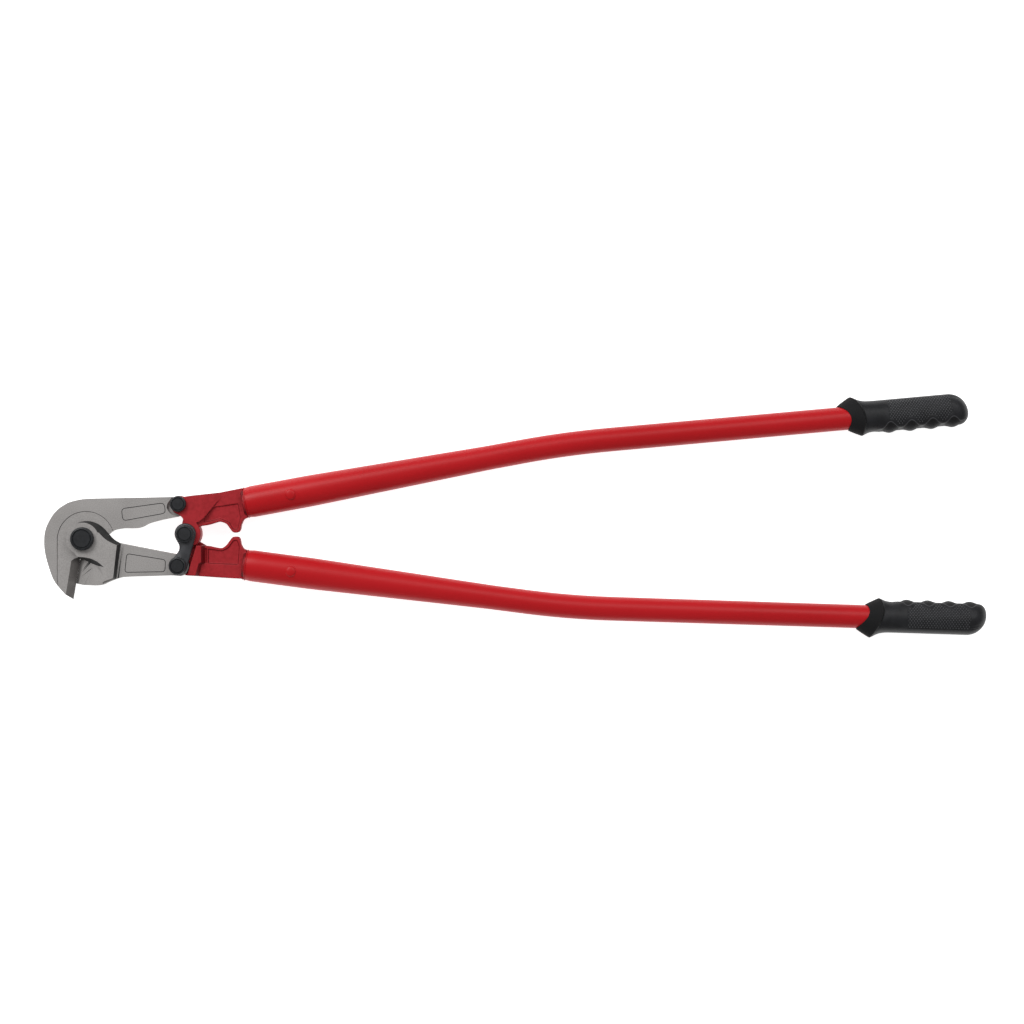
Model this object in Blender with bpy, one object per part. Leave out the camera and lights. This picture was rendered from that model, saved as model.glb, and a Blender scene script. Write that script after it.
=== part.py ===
import math

import bmesh
import bpy
from mathutils import Vector

# Sizes in millimetres. The tool lies flat: +X runs from the jaws to the grips, +Z points away
# from the table, and the jaw pivot's axis is at X = Y = 0 with the table at Z = 0.
MM = 0.001
MID_Z = 19.5                      # height of the plane that halves the jaws' thickness

HOOK_TAIL_PIN = (95.2, 35.0)      # hook jaw to upper handle
BLADE_TAIL_PIN = (95.2, -27.2)    # blade jaw to lower handle
HANDLE_PIN = (102.5, 5.0)         # handle to handle

JAW_HALF = 7.5                    # half thickness of both jaws' arms
TONGUE_HALF = 3.8                 # half thickness of the hook jaw's tail, between two cheeks
CHEEK_INNER = 4.1                 # inner face of the upper handle's cheeks
FORGING_HALF = 9.0                # half thickness of the handle heads at their pins
WEB_HALF = 5.5                    # half thickness of the handle heads' flat webs
HEAD_LOW = 7.2                    # underside of the blade jaw's raised head
HEAD_HIGH = 15.2                  # face of the blade jaw's raised head
RECESS_FLOOR = 6.9                # hook jaw's face under that head
LINK_LOW = 9.3
LINK_HIGH = 13.6
REAR_CHEEK_LOW = -14.0
STRIP_HIGH = 11.2                 # shoulder beside the link plate

LAP_RADIUS = 19.0                 # hook jaw's round end at the jaw pivot
LAP_GAP = 0.35
PIVOT_SHAFT = 7.0
PIN_SHAFT = 5.0
HOLE_GAP = 0.1
OPEN_PIN_GAP = 1.8                # clearance of the upper handle's eye around the handle pin
PIVOT_HEAD = 11.7
PIN_HEAD = 8.0
TAIL_HEAD = 7.2

UPPER_START = (166.5, 37.0)
UPPER_BEND = (484.0, 95.8)
UPPER_SLOPE = math.radians(5.15)
LOWER_START = (166.5, -27.0)
LOWER_BEND = (487.4, -69.2)
LOWER_SLOPE = math.radians(-1.81)
TUBE_WALL = 2.4
TUBE_THICK = 15.8                 # outer radius at the head end
TUBE_WAIST = 12.2
TUBE_THIN = 11.7                  # outer radius at the grip end
TAPER_FROM = 62.0                 # distances along the tube
TAPER_TO = 245.0
BEND_HALF = 45.0
TUBE_FRONT = -4.3                 # the tube's mouth, from its start point
SHANK_LENGTH = 62.0
RIVET_AT = 42.5
RIVET_HEAD = 5.3
RIVET_SHAFT = 3.0
UPPER_GUARD_X = 776.5
LOWER_GUARD_X = 795.0
GRIP_LENGTH = 113.5               # from the guard's ridge to the grip's end
GRIP_MOUTH = -13.0
GRIP_GAP = 0.15
FINGER_PITCH = 21.2
FINGER_FIRST = 33.0               # first finger ridge, from the guard's ridge
GRIP_ROLL = math.radians(12)      # both grips sit a little turned on their tubes
END_BACK = 20.0                   # length of the rounded end on the back and on the finger side
END_FINGER = 9.0
END_CENTRE = 5.0                  # how far its tip lies towards the finger side

ROUND = 36
SMALL_ROUND = 24
TUBE_ROUND = 28


def clearScene():
    for item in list(bpy.data.objects):
        bpy.data.objects.remove(item, do_unlink=True)


def makeMaterial(name, colour, metallic, roughness):
    material = bpy.data.materials.new(name)
    material.use_nodes = True
    shader = material.node_tree.nodes["Principled BSDF"]
    shader.inputs["Base Color"].default_value = (*colour, 1.0)
    shader.inputs["Metallic"].default_value = metallic
    shader.inputs["Roughness"].default_value = roughness
    return material


def arc(centre, radius, start, end, steps):
    """Points from one angle to another, in degrees, both ends included."""
    points = []
    for i in range(steps + 1):
        angle = math.radians(start + (end - start) * i / steps)
        points.append((centre[0] + radius * math.cos(angle), centre[1] + radius * math.sin(angle)))
    return points


def curve(points, steps):
    """A smooth open curve through the points."""
    smooth = []
    for i in range(len(points) - 1):
        before = Vector(points[max(i - 1, 0)])
        first = Vector(points[i])
        second = Vector(points[i + 1])
        after = Vector(points[min(i + 2, len(points) - 1)])
        for step in range(steps):
            t = step / steps
            spot = 0.5 * (2 * first + (second - before) * t
                          + (2 * before - 5 * first + 4 * second - after) * t * t
                          + (3 * first - before - 3 * second + after) * t ** 3)
            smooth.append((spot.x, spot.y))
    smooth.append(tuple(points[-1]))
    return smooth


def shifted(outline, distance):
    """The outline moved inward, for an outline that runs counter-clockwise."""
    count = len(outline)
    moved = []
    for i in range(count):
        before = Vector(outline[i - 1])
        here = Vector(outline[i])
        after = Vector(outline[(i + 1) % count])
        first = (here - before).normalized()
        second = (after - here).normalized()
        bisector = Vector((-(first.y + second.y), first.x + second.x))
        bisector.normalize()
        stretch = max(0.4, bisector.dot(Vector((-first.y, first.x))))
        moved.append(tuple(here + bisector * (distance / stretch)))
    return moved


def addObject(name, mesh_data):
    bmesh.ops.recalc_face_normals(mesh_data, faces=mesh_data.faces)
    mesh = bpy.data.meshes.new(name)
    mesh_data.to_mesh(mesh)
    mesh_data.free()
    item = bpy.data.objects.new(name, mesh)
    bpy.context.scene.collection.objects.link(item)
    return item


def height(level, point):
    """A level is a number, or the three terms of a sloping plane: start, per X and per Y."""
    if isinstance(level, tuple):
        return level[0] + level[1] * point[0] + level[2] * point[1]
    return level


def column(name, outline, low, high, top_outline=None):
    """A closed block between two levels, with its own top outline where its walls lean."""
    top_outline = top_outline or outline
    mesh_data = bmesh.new()
    lower = [mesh_data.verts.new((x, y, height(low, (x, y)) + MID_Z)) for x, y in outline]
    upper = [mesh_data.verts.new((x, y, height(high, (x, y)) + MID_Z)) for x, y in top_outline]
    mesh_data.faces.new(lower[::-1])
    mesh_data.faces.new(upper)
    for i in range(len(outline)):
        j = (i + 1) % len(outline)
        mesh_data.faces.new((lower[i], lower[j], upper[j], upper[i]))
    mesh_data.normal_update()
    bmesh.ops.triangulate(mesh_data, faces=[f for f in mesh_data.faces if len(f.verts) > 4])
    return addObject(name, mesh_data)


def lathe(name, centre, profile, segments):
    """A turned piece about an upright axis. The profile holds (radius, level) pairs."""
    mesh_data = bmesh.new()
    rings = []
    for radius, level in profile:
        z = level + MID_Z
        if radius == 0:
            rings.append([mesh_data.verts.new((centre[0], centre[1], z))])
            continue
        rings.append([mesh_data.verts.new((x, y, z)) for x, y in arc(centre, radius, 0, 360, segments)[:-1]])
    closed = profile[0][0] != 0
    pairs = list(zip(rings, rings[1:] + rings[:1])) if closed else list(zip(rings, rings[1:]))
    for first, second in pairs:
        for i in range(segments):
            j = (i + 1) % segments
            if len(first) == 1:
                mesh_data.faces.new((first[0], second[i], second[j]))
            elif len(second) == 1:
                mesh_data.faces.new((first[i], first[j], second[0]))
            else:
                mesh_data.faces.new((first[i], first[j], second[j], second[i]))
    return addObject(name, mesh_data)


def cylinder(name, centre, radius, low, high, segments=ROUND):
    return column(name, arc(centre, radius, 0, 360, segments)[:-1], low, high)


def combine(item, others, operation):
    for other in others:
        modifier = item.modifiers.new(operation.lower(), "BOOLEAN")
        modifier.operation = operation
        modifier.solver = "EXACT"
        modifier.object = other
        with bpy.context.temp_override(object=item, active_object=item, selected_objects=[item]):
            bpy.ops.object.modifier_apply(modifier=modifier.name)
        bpy.data.objects.remove(other, do_unlink=True)
        tidy(item)
    return item


def tidy(item):
    """Merges the stray corners that a cut leaves and splits its faces into triangles."""
    mesh_data = bmesh.new()
    mesh_data.from_mesh(item.data)
    bmesh.ops.remove_doubles(mesh_data, verts=mesh_data.verts, dist=0.0001)
    bmesh.ops.dissolve_degenerate(mesh_data, dist=0.0001, edges=mesh_data.edges)
    mesh_data.normal_update()
    bmesh.ops.triangulate(mesh_data, faces=mesh_data.faces)
    mesh_data.to_mesh(item.data)
    mesh_data.free()


def finish(item, material, pivot, smooth=False):
    """Turns the piece's millimetres into metres, with its origin on the pivot's axis."""
    item.data.materials.clear()
    item.data.materials.append(material)
    origin = Vector((pivot[0], pivot[1], MID_Z))
    for vertex in item.data.vertices:
        vertex.co = (vertex.co - origin) * MM
    item.location = origin * MM
    for polygon in item.data.polygons:
        polygon.use_smooth = smooth
    return item


# Hook jaw: a curved plate whose hooked end carries one cutting edge.
EDGE_TOP = (-4.8, -20.9)
EDGE_TIP = (-11.4, -61.0)


def edgeX(y):
    """X of the line along which the two cutting edges meet."""
    return EDGE_TOP[0] + (EDGE_TIP[0] - EDGE_TOP[0]) * (y - EDGE_TOP[1]) / (EDGE_TIP[1] - EDGE_TOP[1])


def hookOutline():
    back = curve([(10.4, 40.5), (-2.0, 39.7), (-13.7, 37.0), (-19.7, 34.0), (-25.8, 29.7), (-31.8, 22.9),
                  (-37.8, 11.2), (-39.8, -1.1), (-38.3, -16.9), (-31.8, -37.9), (-25.8, -47.8), (-18.5, -56.0)], 3)
    throat = curve([(23.4, 4.0), (28.5, 8.0), (34.5, 9.7), (42.0, 10.5), (52.0, 10.5), (58.7, 12.2),
                    (64.7, 15.3), (76.7, 18.7), (94.9, 22.4)], 2)
    tail = [(98.4, 23.9)] + arc(HOOK_TAIL_PIN, 8.3, -44, 60, 10) + [(96.3, 42.2)]
    lap = arc((0, 0), LAP_RADIUS, -95, 8, 16)
    return back + [EDGE_TIP] + [EDGE_TOP] + lap + throat + tail


def hookBevel(name, side):
    """The wedge taken off one side of the hook, down to its cutting edge."""
    run = 7.2
    slope = JAW_HALF / run
    lean = (EDGE_TIP[0] - EDGE_TOP[0]) / (EDGE_TIP[1] - EDGE_TOP[1])
    start = slope * (EDGE_TOP[0] - lean * EDGE_TOP[1])
    plane = (side * start, -side * slope, side * slope * lean)
    reach = run + 2.0
    outline = [(edgeX(-66) - reach, -66), (12, -66), (12, -20.0), (-4.0, -18.8), (-9.0, -19.8), (edgeX(-22) - reach, -22.6)]
    if side > 0:
        return column(name, outline, plane, JAW_HALF + 4.0)
    return column(name, outline, -JAW_HALF - 4.0, plane)


def hookJaw(material):
    jaw = column("hook_jaw", hookOutline(), -JAW_HALF, JAW_HALF)
    seat = arc(HOOK_TAIL_PIN, 12.4, 125, 262, 14) + [(140, -20), (140, 70), (90, 70)]
    bed = (arc((2.1, -1.3), 28.5, -10, 180, 26)
           + [(-26.4, -41.0), (-24.0, -70.0), (30.0, -70.0)])
    cutters = [
        column("seat_front", seat, TONGUE_HALF, JAW_HALF + 2),
        column("seat_rear", seat, -JAW_HALF - 2, -TONGUE_HALF),
        column("bed", bed, RECESS_FLOOR, JAW_HALF + 2),
        hookBevel("bevel_front", 1),
        hookBevel("bevel_rear", -1),
        cylinder("pivot_hole", (0, 0), PIVOT_SHAFT + HOLE_GAP, -20, 20),
        cylinder("tail_hole", HOOK_TAIL_PIN, PIN_SHAFT + HOLE_GAP, -20, 20, SMALL_ROUND),
    ]
    combine(jaw, cutters, "DIFFERENCE")
    return finish(jaw, material, (0, 0))


# Blade jaw: a straight arm and blade, with a raised round head over the hook jaw.
def bladeFoot():
    return curve([(30.5, -41.1), (22.5, -44.4), (19.2, -46.2), (12.8, -46.8), (-1.0, -46.4)], 2)


def bladeHeadOutline():
    neck = curve([(16.0, 6.6), (18.4, 4.0), (22.3, 0.2), (27.5, -3.2), (34.4, -6.4)], 3)
    edge = [(edgeX(-45.0) + LAP_GAP, -45.0), (edgeX(-22.0) + LAP_GAP, -22.0)]
    disc = arc((0, 0), 16.7, 238, 24, 30)
    return neck[::-1] + disc[::-1] + [(-5.2, -18.0)] + edge[::-1] + bladeFoot()[::-1]


def bladeBodyOutline():
    top = [(19.5, -3.3), (27.0, -3.7), (34.5, -4.4), (40.5, -5.5), (46.6, -6.7), (58.7, -9.0), (88.8, -14.8)]
    tail = arc(BLADE_TAIL_PIN, 10.5, 78, -76, 14)
    bottom = [(88.8, -36.8), (70.7, -37.4), (52.6, -37.9), (40.5, -38.5), (34.5, -39.7)] + bladeFoot()
    edge = [(edgeX(-45.0) + LAP_GAP, -45.0), (edgeX(-22.0) + LAP_GAP, -22.0), (-4.2, -20.2)]
    lap = arc((0, 0), LAP_RADIUS + LAP_GAP, -98, -12, 16)
    return (top + tail + bottom + edge + lap)[::-1]


def bladeJaw(material):
    jaw = column("blade_jaw", bladeBodyOutline(), -JAW_HALF, JAW_HALF)
    face = bladeHeadOutline()
    foot = shifted(face, -2.4)
    for i, (x, y) in enumerate(face):
        if x < 8 or y < -38:
            foot[i] = (x, y)
    head = column("head", foot, HEAD_LOW, HEAD_HIGH, face)

    blade_slope = (HEAD_HIGH - 6.6) / 18.6
    bevel_slope = 1.08
    leaf = curve([(-9.0, -16.0), (-4.5, -18.2), (1.7, -18.6), (7.7, -19.6), (12.4, -21.2), (16.4, -23.4), (20.8, -27.4)], 2)
    ground = leaf + [(18.8, -44.4), (18.6, -50), (-16, -50)]
    ground_plane = (HEAD_HIGH - blade_slope * (20.5 + 27.9 * 0.103), blade_slope, -blade_slope * 0.103)
    lean = (EDGE_TIP[0] - EDGE_TOP[0]) / (EDGE_TIP[1] - EDGE_TOP[1])
    start = EDGE_TOP[0] - lean * EDGE_TOP[1] + LAP_GAP
    front_plane = (-bevel_slope * start, bevel_slope, -bevel_slope * lean)
    rear_plane = (bevel_slope * start, -bevel_slope, bevel_slope * lean)
    strip = [(-20, -50), (12, -50), (12, -20.6), (-1.0, -19.5), (-12, -17.5)]
    rear_strip = [(-20, -50), (12, -50), (12, -19.0), (-12, -17.0)]
    combine(head, [column("ground", ground, ground_plane, HEAD_HIGH + 4)], "DIFFERENCE")
    combine(jaw, [
        column("ground", ground, ground_plane, HEAD_HIGH + 4),
        column("bevel_front", strip, front_plane, HEAD_HIGH + 14),
        column("bevel_rear", rear_strip, -JAW_HALF - 14, rear_plane),
    ], "DIFFERENCE")
    boss = cylinder("boss", BLADE_TAIL_PIN, 9.0, -FORGING_HALF, FORGING_HALF)
    combine(jaw, [head, boss], "UNION")
    combine(jaw, [
        cylinder("pivot_hole", (0, 0), PIVOT_SHAFT + HOLE_GAP, -20, 20),
        cylinder("tail_hole", BLADE_TAIL_PIN, PIN_SHAFT + HOLE_GAP, -20, 20, SMALL_ROUND),
    ], "DIFFERENCE")
    return finish(jaw, material, (0, 0))


# Handle heads: forgings with a round shank that sits in the tube.
def along(start, slope, distance, side=0.0):
    """A point at a distance along a straight tube and to its left."""
    return (start[0] + math.cos(slope) * distance - math.sin(slope) * side,
            start[1] + math.sin(slope) * distance + math.cos(slope) * side)


def shank(start, slope):
    radius = TUBE_THICK - TUBE_WALL - 0.15
    mesh_data = bmesh.new()
    rings = []
    for distance, size in ((TUBE_FRONT - 2.8, radius - 0.9), (TUBE_FRONT - 1.9, radius), (SHANK_LENGTH - 3.0, radius),
                           (SHANK_LENGTH, radius - 3.0)):
        ring = []
        for i in range(ROUND):
            angle = math.tau * i / ROUND
            x, y = along(start, slope, distance, size * math.cos(angle))
            ring.append(mesh_data.verts.new((x, y, size * math.sin(angle) + MID_Z)))
        rings.append(ring)
    mesh_data.faces.new(rings[0][::-1])
    mesh_data.faces.new(rings[-1])
    for first, second in zip(rings, rings[1:]):
        for i in range(ROUND):
            j = (i + 1) % ROUND
            mesh_data.faces.new((first[i], first[j], second[j], second[i]))
    return addObject("shank", mesh_data)


def collarEnd(start, slope):
    """The two corners of a head's flat web where it meets the tube's mouth."""
    left = along(start, slope, TUBE_FRONT - 0.4, TUBE_THICK - 0.6)
    right = along(start, slope, TUBE_FRONT - 0.4, -TUBE_THICK + 0.6)
    return left, right


def upperSlope():
    return math.atan2(UPPER_BEND[1] - UPPER_START[1], UPPER_BEND[0] - UPPER_START[0])


def lowerSlope():
    return math.atan2(LOWER_BEND[1] - LOWER_START[1], LOWER_BEND[0] - LOWER_START[0])


def upperHead(material):
    left, right = collarEnd(UPPER_START, upperSlope())
    nose = arc(HOOK_TAIL_PIN, 8.3, 60, 214, 14)
    lower_nose = [(91.0, 26.4), (94.4, 24.8), (98.3, 22.1), (99.7, 20.1)]
    eye = arc(HANDLE_PIN, 10.4, 108, 268, 16)[1:] + arc(HANDLE_PIN, 15.3, -50, 26, 10)
    bottom = curve([(117.4, 12.7), (124.7, 13.8), (130.8, 15.5), (136.8, 17.0), (142.9, 15.0), (146.0, 11.3),
                    (149.9, 6.6), (154.9, 6.5), (157.3, 9.5), (158.0, 13.4), (160.5, 19.1), right], 2)
    top = [left, (136.8, 46.6), (107.1, 43.4)]
    head = column("upper_handle_head", nose + lower_nose + eye + bottom + top, -WEB_HALF, WEB_HALF)
    step = curve([(136.1, 41.5), (133.3, 38.2), (126.2, 31.0), (119.3, 24.0), (113.0, 19.4)], 2)
    fan = nose + lower_nose + [(101.0, 16.7)] + [(108.0, 15.0)] + step[::-1] + [(137.5, 46.0), (107.1, 42.9)]
    leaning = nose + lower_nose + [(101.0, 16.7)] + [(107.2, 15.6)] + shifted(step, 1.6)[::-1] + [(136.0, 45.8), (107.1, 42.9)]
    lobe = arc(HANDLE_PIN, 10.4, 100, 268, 18) + arc(HANDLE_PIN, 15.3, -50, 40, 12) + [(110.0, 20.0), (101.5, 19.0)]
    combine(head, [
        column("fan_front", fan, WEB_HALF - 1, FORGING_HALF, leaning),
        column("fan_rear", leaning, -FORGING_HALF, -WEB_HALF + 1, fan),
        column("lobe", lobe, -FORGING_HALF, FORGING_HALF),
        shank(UPPER_START, upperSlope()),
    ], "UNION")
    slot = arc(HOOK_TAIL_PIN, 9.2, 96, -35, 14) + [(99.4, 20.6), (86.0, 17.0), (80.0, 20.0), (80.0, 50.0), (94.0, 50.0)]
    pocket = [(132.1, 32.2), (150.6, 34.6), (155.4, 33.0), (157.2, 22.0), (153.6, 9.8), (150.6, 9.8),
              (145.5, 16.4), (137.0, 19.8), (124.0, 16.4)]
    combine(head, [
        column("slot", slot, -CHEEK_INNER, CHEEK_INNER),
        column("pocket_front", pocket[::-1], WEB_HALF - 1.2, WEB_HALF + 2),
        column("pocket_rear", pocket[::-1], -WEB_HALF - 2, -WEB_HALF + 1.2),
        cylinder("tail_hole", HOOK_TAIL_PIN, PIN_SHAFT + HOLE_GAP, -20, 20, SMALL_ROUND),
        cylinder("eye_hole", HANDLE_PIN, PIN_SHAFT + OPEN_PIN_GAP, -20, 20, SMALL_ROUND),
        rivetHole(UPPER_START, upperSlope()),
    ], "DIFFERENCE")
    return finish(head, material, HOOK_TAIL_PIN)


def linkOutline():
    handle_end = arc(HANDLE_PIN, 10.6, -14, 212, 22)
    waist = curve([(95.4, -4.0), (96.7, -7.0), (96.4, -11.5), (93.6, -15.6)], 3)
    blade_end = arc(BLADE_TAIL_PIN, 9.3, 115, 346, 22)
    return handle_end + waist + blade_end


def lowerHead(material):
    left, right = collarEnd(LOWER_START, lowerSlope())
    top = curve([left, (160.5, -10.0), (158.0, -5.7), (157.0, -0.7), (154.9, 1.9), (149.9, 1.8), (147.1, -1.1),
                 (142.9, -6.5), (138.6, -9.3), (132.8, -8.9), (125.7, -7.4), (118.8, -6.9)], 2)
    web = top + [(111.0, -6.6), (100.6, -36.7), (112.7, -37.5), (142.9, -39.5), (158.4, -40.3), right]
    head = column("lower_handle_head", web, -WEB_HALF, WEB_HALF)
    shoulder = [(113.5, -6.7), (104.2, -36.9), (115.0, -37.6), (118.3, -25.6), (121.2, -25.0), (121.2, -6.9)]
    shoulder_top = [(113.5, -6.7), (104.2, -36.9), (112.5, -37.3), (115.9, -24.8), (118.6, -24.2), (118.6, -6.9)]
    cheek = linkOutline()[:-2] + [(100.6, -36.7), (115.0, -37.6), (118.3, -25.6), (121.2, -25.0), (121.2, -6.9),
                                  (114.5, -3.0)]
    combine(head, [
        column("shoulder", shoulder, -LINK_LOW - 1, STRIP_HIGH, shoulder_top),
        column("cheek", cheek, REAR_CHEEK_LOW, -LINK_LOW),
    ], "UNION")
    seat_edge = [(114.0, 8.0), (101.6, -36.0), (98.0, -44.0), (80.0, -44.0), (80.0, 20.0), (110.0, 20.0)]
    pocket = [(122.2, -25.4), (154.0, -26.0), (156.6, -8.0), (153.2, -1.2), (151.0, -1.2), (145.0, -9.0),
              (139.0, -12.4), (122.2, -10.6)]
    combine(head, [
        cylinder("tail_room", BLADE_TAIL_PIN, 11.0, -LINK_LOW, LINK_LOW),
        cylinder("eye_room", HANDLE_PIN, 17.4, -LINK_LOW, LINK_LOW),
        column("link_room", seat_edge[::-1], LINK_LOW - 4, STRIP_HIGH + 2),
        column("pocket_front", pocket, WEB_HALF - 1.2, WEB_HALF + 2),
        column("pocket_rear", pocket, -WEB_HALF - 2, -WEB_HALF + 1.2),
        cylinder("tail_hole", BLADE_TAIL_PIN, PIN_SHAFT + HOLE_GAP, -20, 20, SMALL_ROUND),
        cylinder("handle_hole", HANDLE_PIN, PIN_SHAFT + HOLE_GAP, -20, 20, SMALL_ROUND),
    ], "DIFFERENCE")
    combine(head, [shank(LOWER_START, lowerSlope())], "UNION")
    combine(head, [rivetHole(LOWER_START, lowerSlope())], "DIFFERENCE")
    return finish(head, material, BLADE_TAIL_PIN)


def linkPlate(material):
    plate = column("link_plate", linkOutline(), LINK_LOW, LINK_HIGH - 0.9)
    rim = column("rim", linkOutline(), LINK_HIGH - 1.0, LINK_HIGH, shifted(linkOutline(), 0.9))
    combine(plate, [rim], "UNION")
    combine(plate, [
        cylinder("tail_hole", BLADE_TAIL_PIN, PIN_SHAFT + HOLE_GAP, -20, 20, SMALL_ROUND),
        cylinder("handle_hole", HANDLE_PIN, PIN_SHAFT + HOLE_GAP, -20, 20, SMALL_ROUND),
    ], "DIFFERENCE")
    return finish(plate, material, BLADE_TAIL_PIN)


# Fasteners.
def bolt(name, centre, head, shaft, seat, end, thickness, material):
    """A bolt with a stepped round head: the head's seat and the shaft's end are levels."""
    top = seat + thickness
    profile = [(0, end), (shaft - 0.8, end), (shaft, end + 0.8), (shaft, seat + 0.05), (head, seat + 0.05),
               (head, top - 1.6), (head - 1.3, top - 0.5), (head * 0.76, top - 0.5), (head * 0.74, top - 1.1),
               (head * 0.70, top), (0, top)]
    return finish(lathe(name, centre, profile, ROUND), material, centre, True)


def washer(name, centre, inner, outer, low, high, material):
    profile = [(inner, low), (outer, low), (outer, high), (inner, high)]
    return finish(lathe(name, centre, profile, SMALL_ROUND), material, centre, True)


def nut(name, centre, inner, across_corners, low, high, material):
    body = column(name, arc(centre, across_corners, 0, 360, 6)[:-1], low, high)
    chamfer = 0.93 * across_corners
    crown = lathe("crown", centre, [(0, low), (chamfer, low), (across_corners + 0.2, low + 1.2),
                                    (across_corners + 0.2, high + 1), (0, high + 1)], SMALL_ROUND)
    combine(body, [crown], "INTERSECT")
    combine(body, [cylinder("bore", centre, inner, -40, 20, SMALL_ROUND)], "DIFFERENCE")
    return finish(body, material, centre)


def fasteners(black, plated):
    hole = PIVOT_SHAFT + HOLE_GAP
    bolt("jaw_pivot_bolt", (0, 0), PIVOT_HEAD, PIVOT_SHAFT, HEAD_HIGH, -MID_Z, 5.8, black)
    washer("jaw_pivot_washer", (0, 0), hole, 13.0, -JAW_HALF - 1.6, -JAW_HALF - 0.05, plated)
    nut("jaw_pivot_nut", (0, 0), hole, 12.2, -JAW_HALF - 9.6, -JAW_HALF - 1.65, black)
    hole = PIN_SHAFT + HOLE_GAP
    bolt("hook_jaw_tail_bolt", HOOK_TAIL_PIN, TAIL_HEAD, PIN_SHAFT, FORGING_HALF, -16.2, 4.6, black)
    washer("hook_jaw_tail_washer", HOOK_TAIL_PIN, hole, 8.2, -FORGING_HALF - 1.05, -FORGING_HALF - 0.05, plated)
    nut("hook_jaw_tail_nut", HOOK_TAIL_PIN, hole, 8.0, -FORGING_HALF - 6.1, -FORGING_HALF - 1.1, black)
    for name, centre in (("blade_jaw_tail", BLADE_TAIL_PIN), ("handle_pivot", HANDLE_PIN)):
        bolt(name + "_bolt", centre, PIN_HEAD, PIN_SHAFT, LINK_HIGH, -MID_Z + 0.2, 4.6, black)
        washer(name + "_washer", centre, hole, 8.6, REAR_CHEEK_LOW - 0.85, REAR_CHEEK_LOW - 0.05, plated)
        nut(name + "_nut", centre, hole, 8.6, REAR_CHEEK_LOW - 4.9, REAR_CHEEK_LOW - 0.9, black)


# Tubes.
def centreline(start, bend, end_slope, end_x):
    """Points and headings along a tube that bends once."""
    first = math.atan2(bend[1] - start[1], bend[0] - start[0])
    reach = math.hypot(bend[0] - start[0], bend[1] - start[1])
    stops = [TUBE_FRONT, TAPER_FROM - 15, TAPER_FROM]
    stops += [TAPER_FROM + (TAPER_TO - TAPER_FROM) * i / 3 for i in range(1, 4)]
    path = [(along(start, first, d), first, d) for d in stops]
    corner_in = along(start, first, reach - BEND_HALF)
    corner_out = along(bend, end_slope, BEND_HALF)
    for i in range(8):
        t = i / 7
        spot = [(1 - t) ** 2 * corner_in[k] + 2 * t * (1 - t) * bend[k] + t * t * corner_out[k] for k in (0, 1)]
        heading = first + (end_slope - first) * t
        path.append((tuple(spot), heading, reach + BEND_HALF * (2 * t - 1)))
    length = (end_x - bend[0]) / math.cos(end_slope)
    path.append((along(bend, end_slope, length), end_slope, reach + length))
    return path


def tubeRadius(distance, total):
    if distance <= TAPER_FROM:
        return TUBE_THICK
    if distance <= TAPER_TO:
        t = (distance - TAPER_FROM) / (TAPER_TO - TAPER_FROM)
        return TUBE_THICK + (TUBE_WAIST - TUBE_THICK) * t
    return TUBE_WAIST + (TUBE_THIN - TUBE_WAIST) * (distance - TAPER_TO) / (total - TAPER_TO)


def tube(name, path, start, slope, pivot, material):
    segments = TUBE_ROUND
    total = path[-1][2]
    mesh_data = bmesh.new()
    skins = []
    for wall in (0.0, TUBE_WALL):
        skin = []
        for centre, heading, distance in path:
            radius = tubeRadius(distance, total) - wall
            ring = []
            for i in range(segments):
                angle = math.tau * i / segments
                x, y = along(centre, heading, 0, radius * math.cos(angle))
                ring.append(mesh_data.verts.new((x, y, radius * math.sin(angle) + MID_Z)))
            skin.append(ring)
        skins.append(skin)
    loop = skins[0] + skins[1][::-1]
    for first, second in zip(loop, loop[1:] + loop[:1]):
        for i in range(segments):
            j = (i + 1) % segments
            mesh_data.faces.new((first[i], first[j], second[j], second[i]))
    body = addObject(name, mesh_data)
    combine(body, [rivetHole(start, slope)], "DIFFERENCE")
    return finish(body, material, pivot, True)


def rivetHole(start, slope):
    return cylinder("rivet_hole", along(start, slope, RIVET_AT), RIVET_SHAFT + HOLE_GAP, -20, 20, SMALL_ROUND)


def rivet(name, start, slope, pivot, material):
    centre = along(start, slope, RIVET_AT)
    rim = TUBE_THICK - 1.4
    crown = TUBE_THICK + 1.7
    dome = [(RIVET_HEAD * math.cos(math.radians(a)), rim + 1.2 + (crown - rim - 1.2) * math.sin(math.radians(a)))
            for a in (0, 25, 50, 70)]
    profile = [(0, -crown)] + [(r, -z) for r, z in dome[::-1]] + [(RIVET_HEAD, -rim)]
    profile += [(RIVET_HEAD, rim)] + dome + [(0, crown)]
    piece = lathe(name, centre, profile, SMALL_ROUND)
    bore = lathe("bed", centre, [(RIVET_SHAFT, -crown - 1), (RIVET_HEAD + 3, -crown - 1), (RIVET_HEAD + 3, crown + 1),
                                 (RIVET_SHAFT, crown + 1)], SMALL_ROUND)
    combine(bore, [tubeBlank(start, slope)], "INTERSECT")
    combine(piece, [bore], "DIFFERENCE")
    return finish(piece, material, pivot, True)


def tubeBlank(start, slope):
    """A plain bar a little thicker than the tube's straight end."""
    segments = TUBE_ROUND
    mesh_data = bmesh.new()
    rings = []
    for distance in (RIVET_AT - 16, RIVET_AT + 16):
        ring = []
        for i in range(segments):
            angle = math.tau * i / segments
            radius = TUBE_THICK + 0.05
            x, y = along(start, slope, distance, radius * math.cos(angle))
            ring.append(mesh_data.verts.new((x, y, radius * math.sin(angle) + MID_Z)))
        rings.append(ring)
    mesh_data.faces.new(rings[0][::-1])
    mesh_data.faces.new(rings[1])
    for i in range(segments):
        j = (i + 1) % segments
        mesh_data.faces.new((rings[0][i], rings[0][j], rings[1][j], rings[1][i]))
    return addObject("bar", mesh_data)


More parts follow.
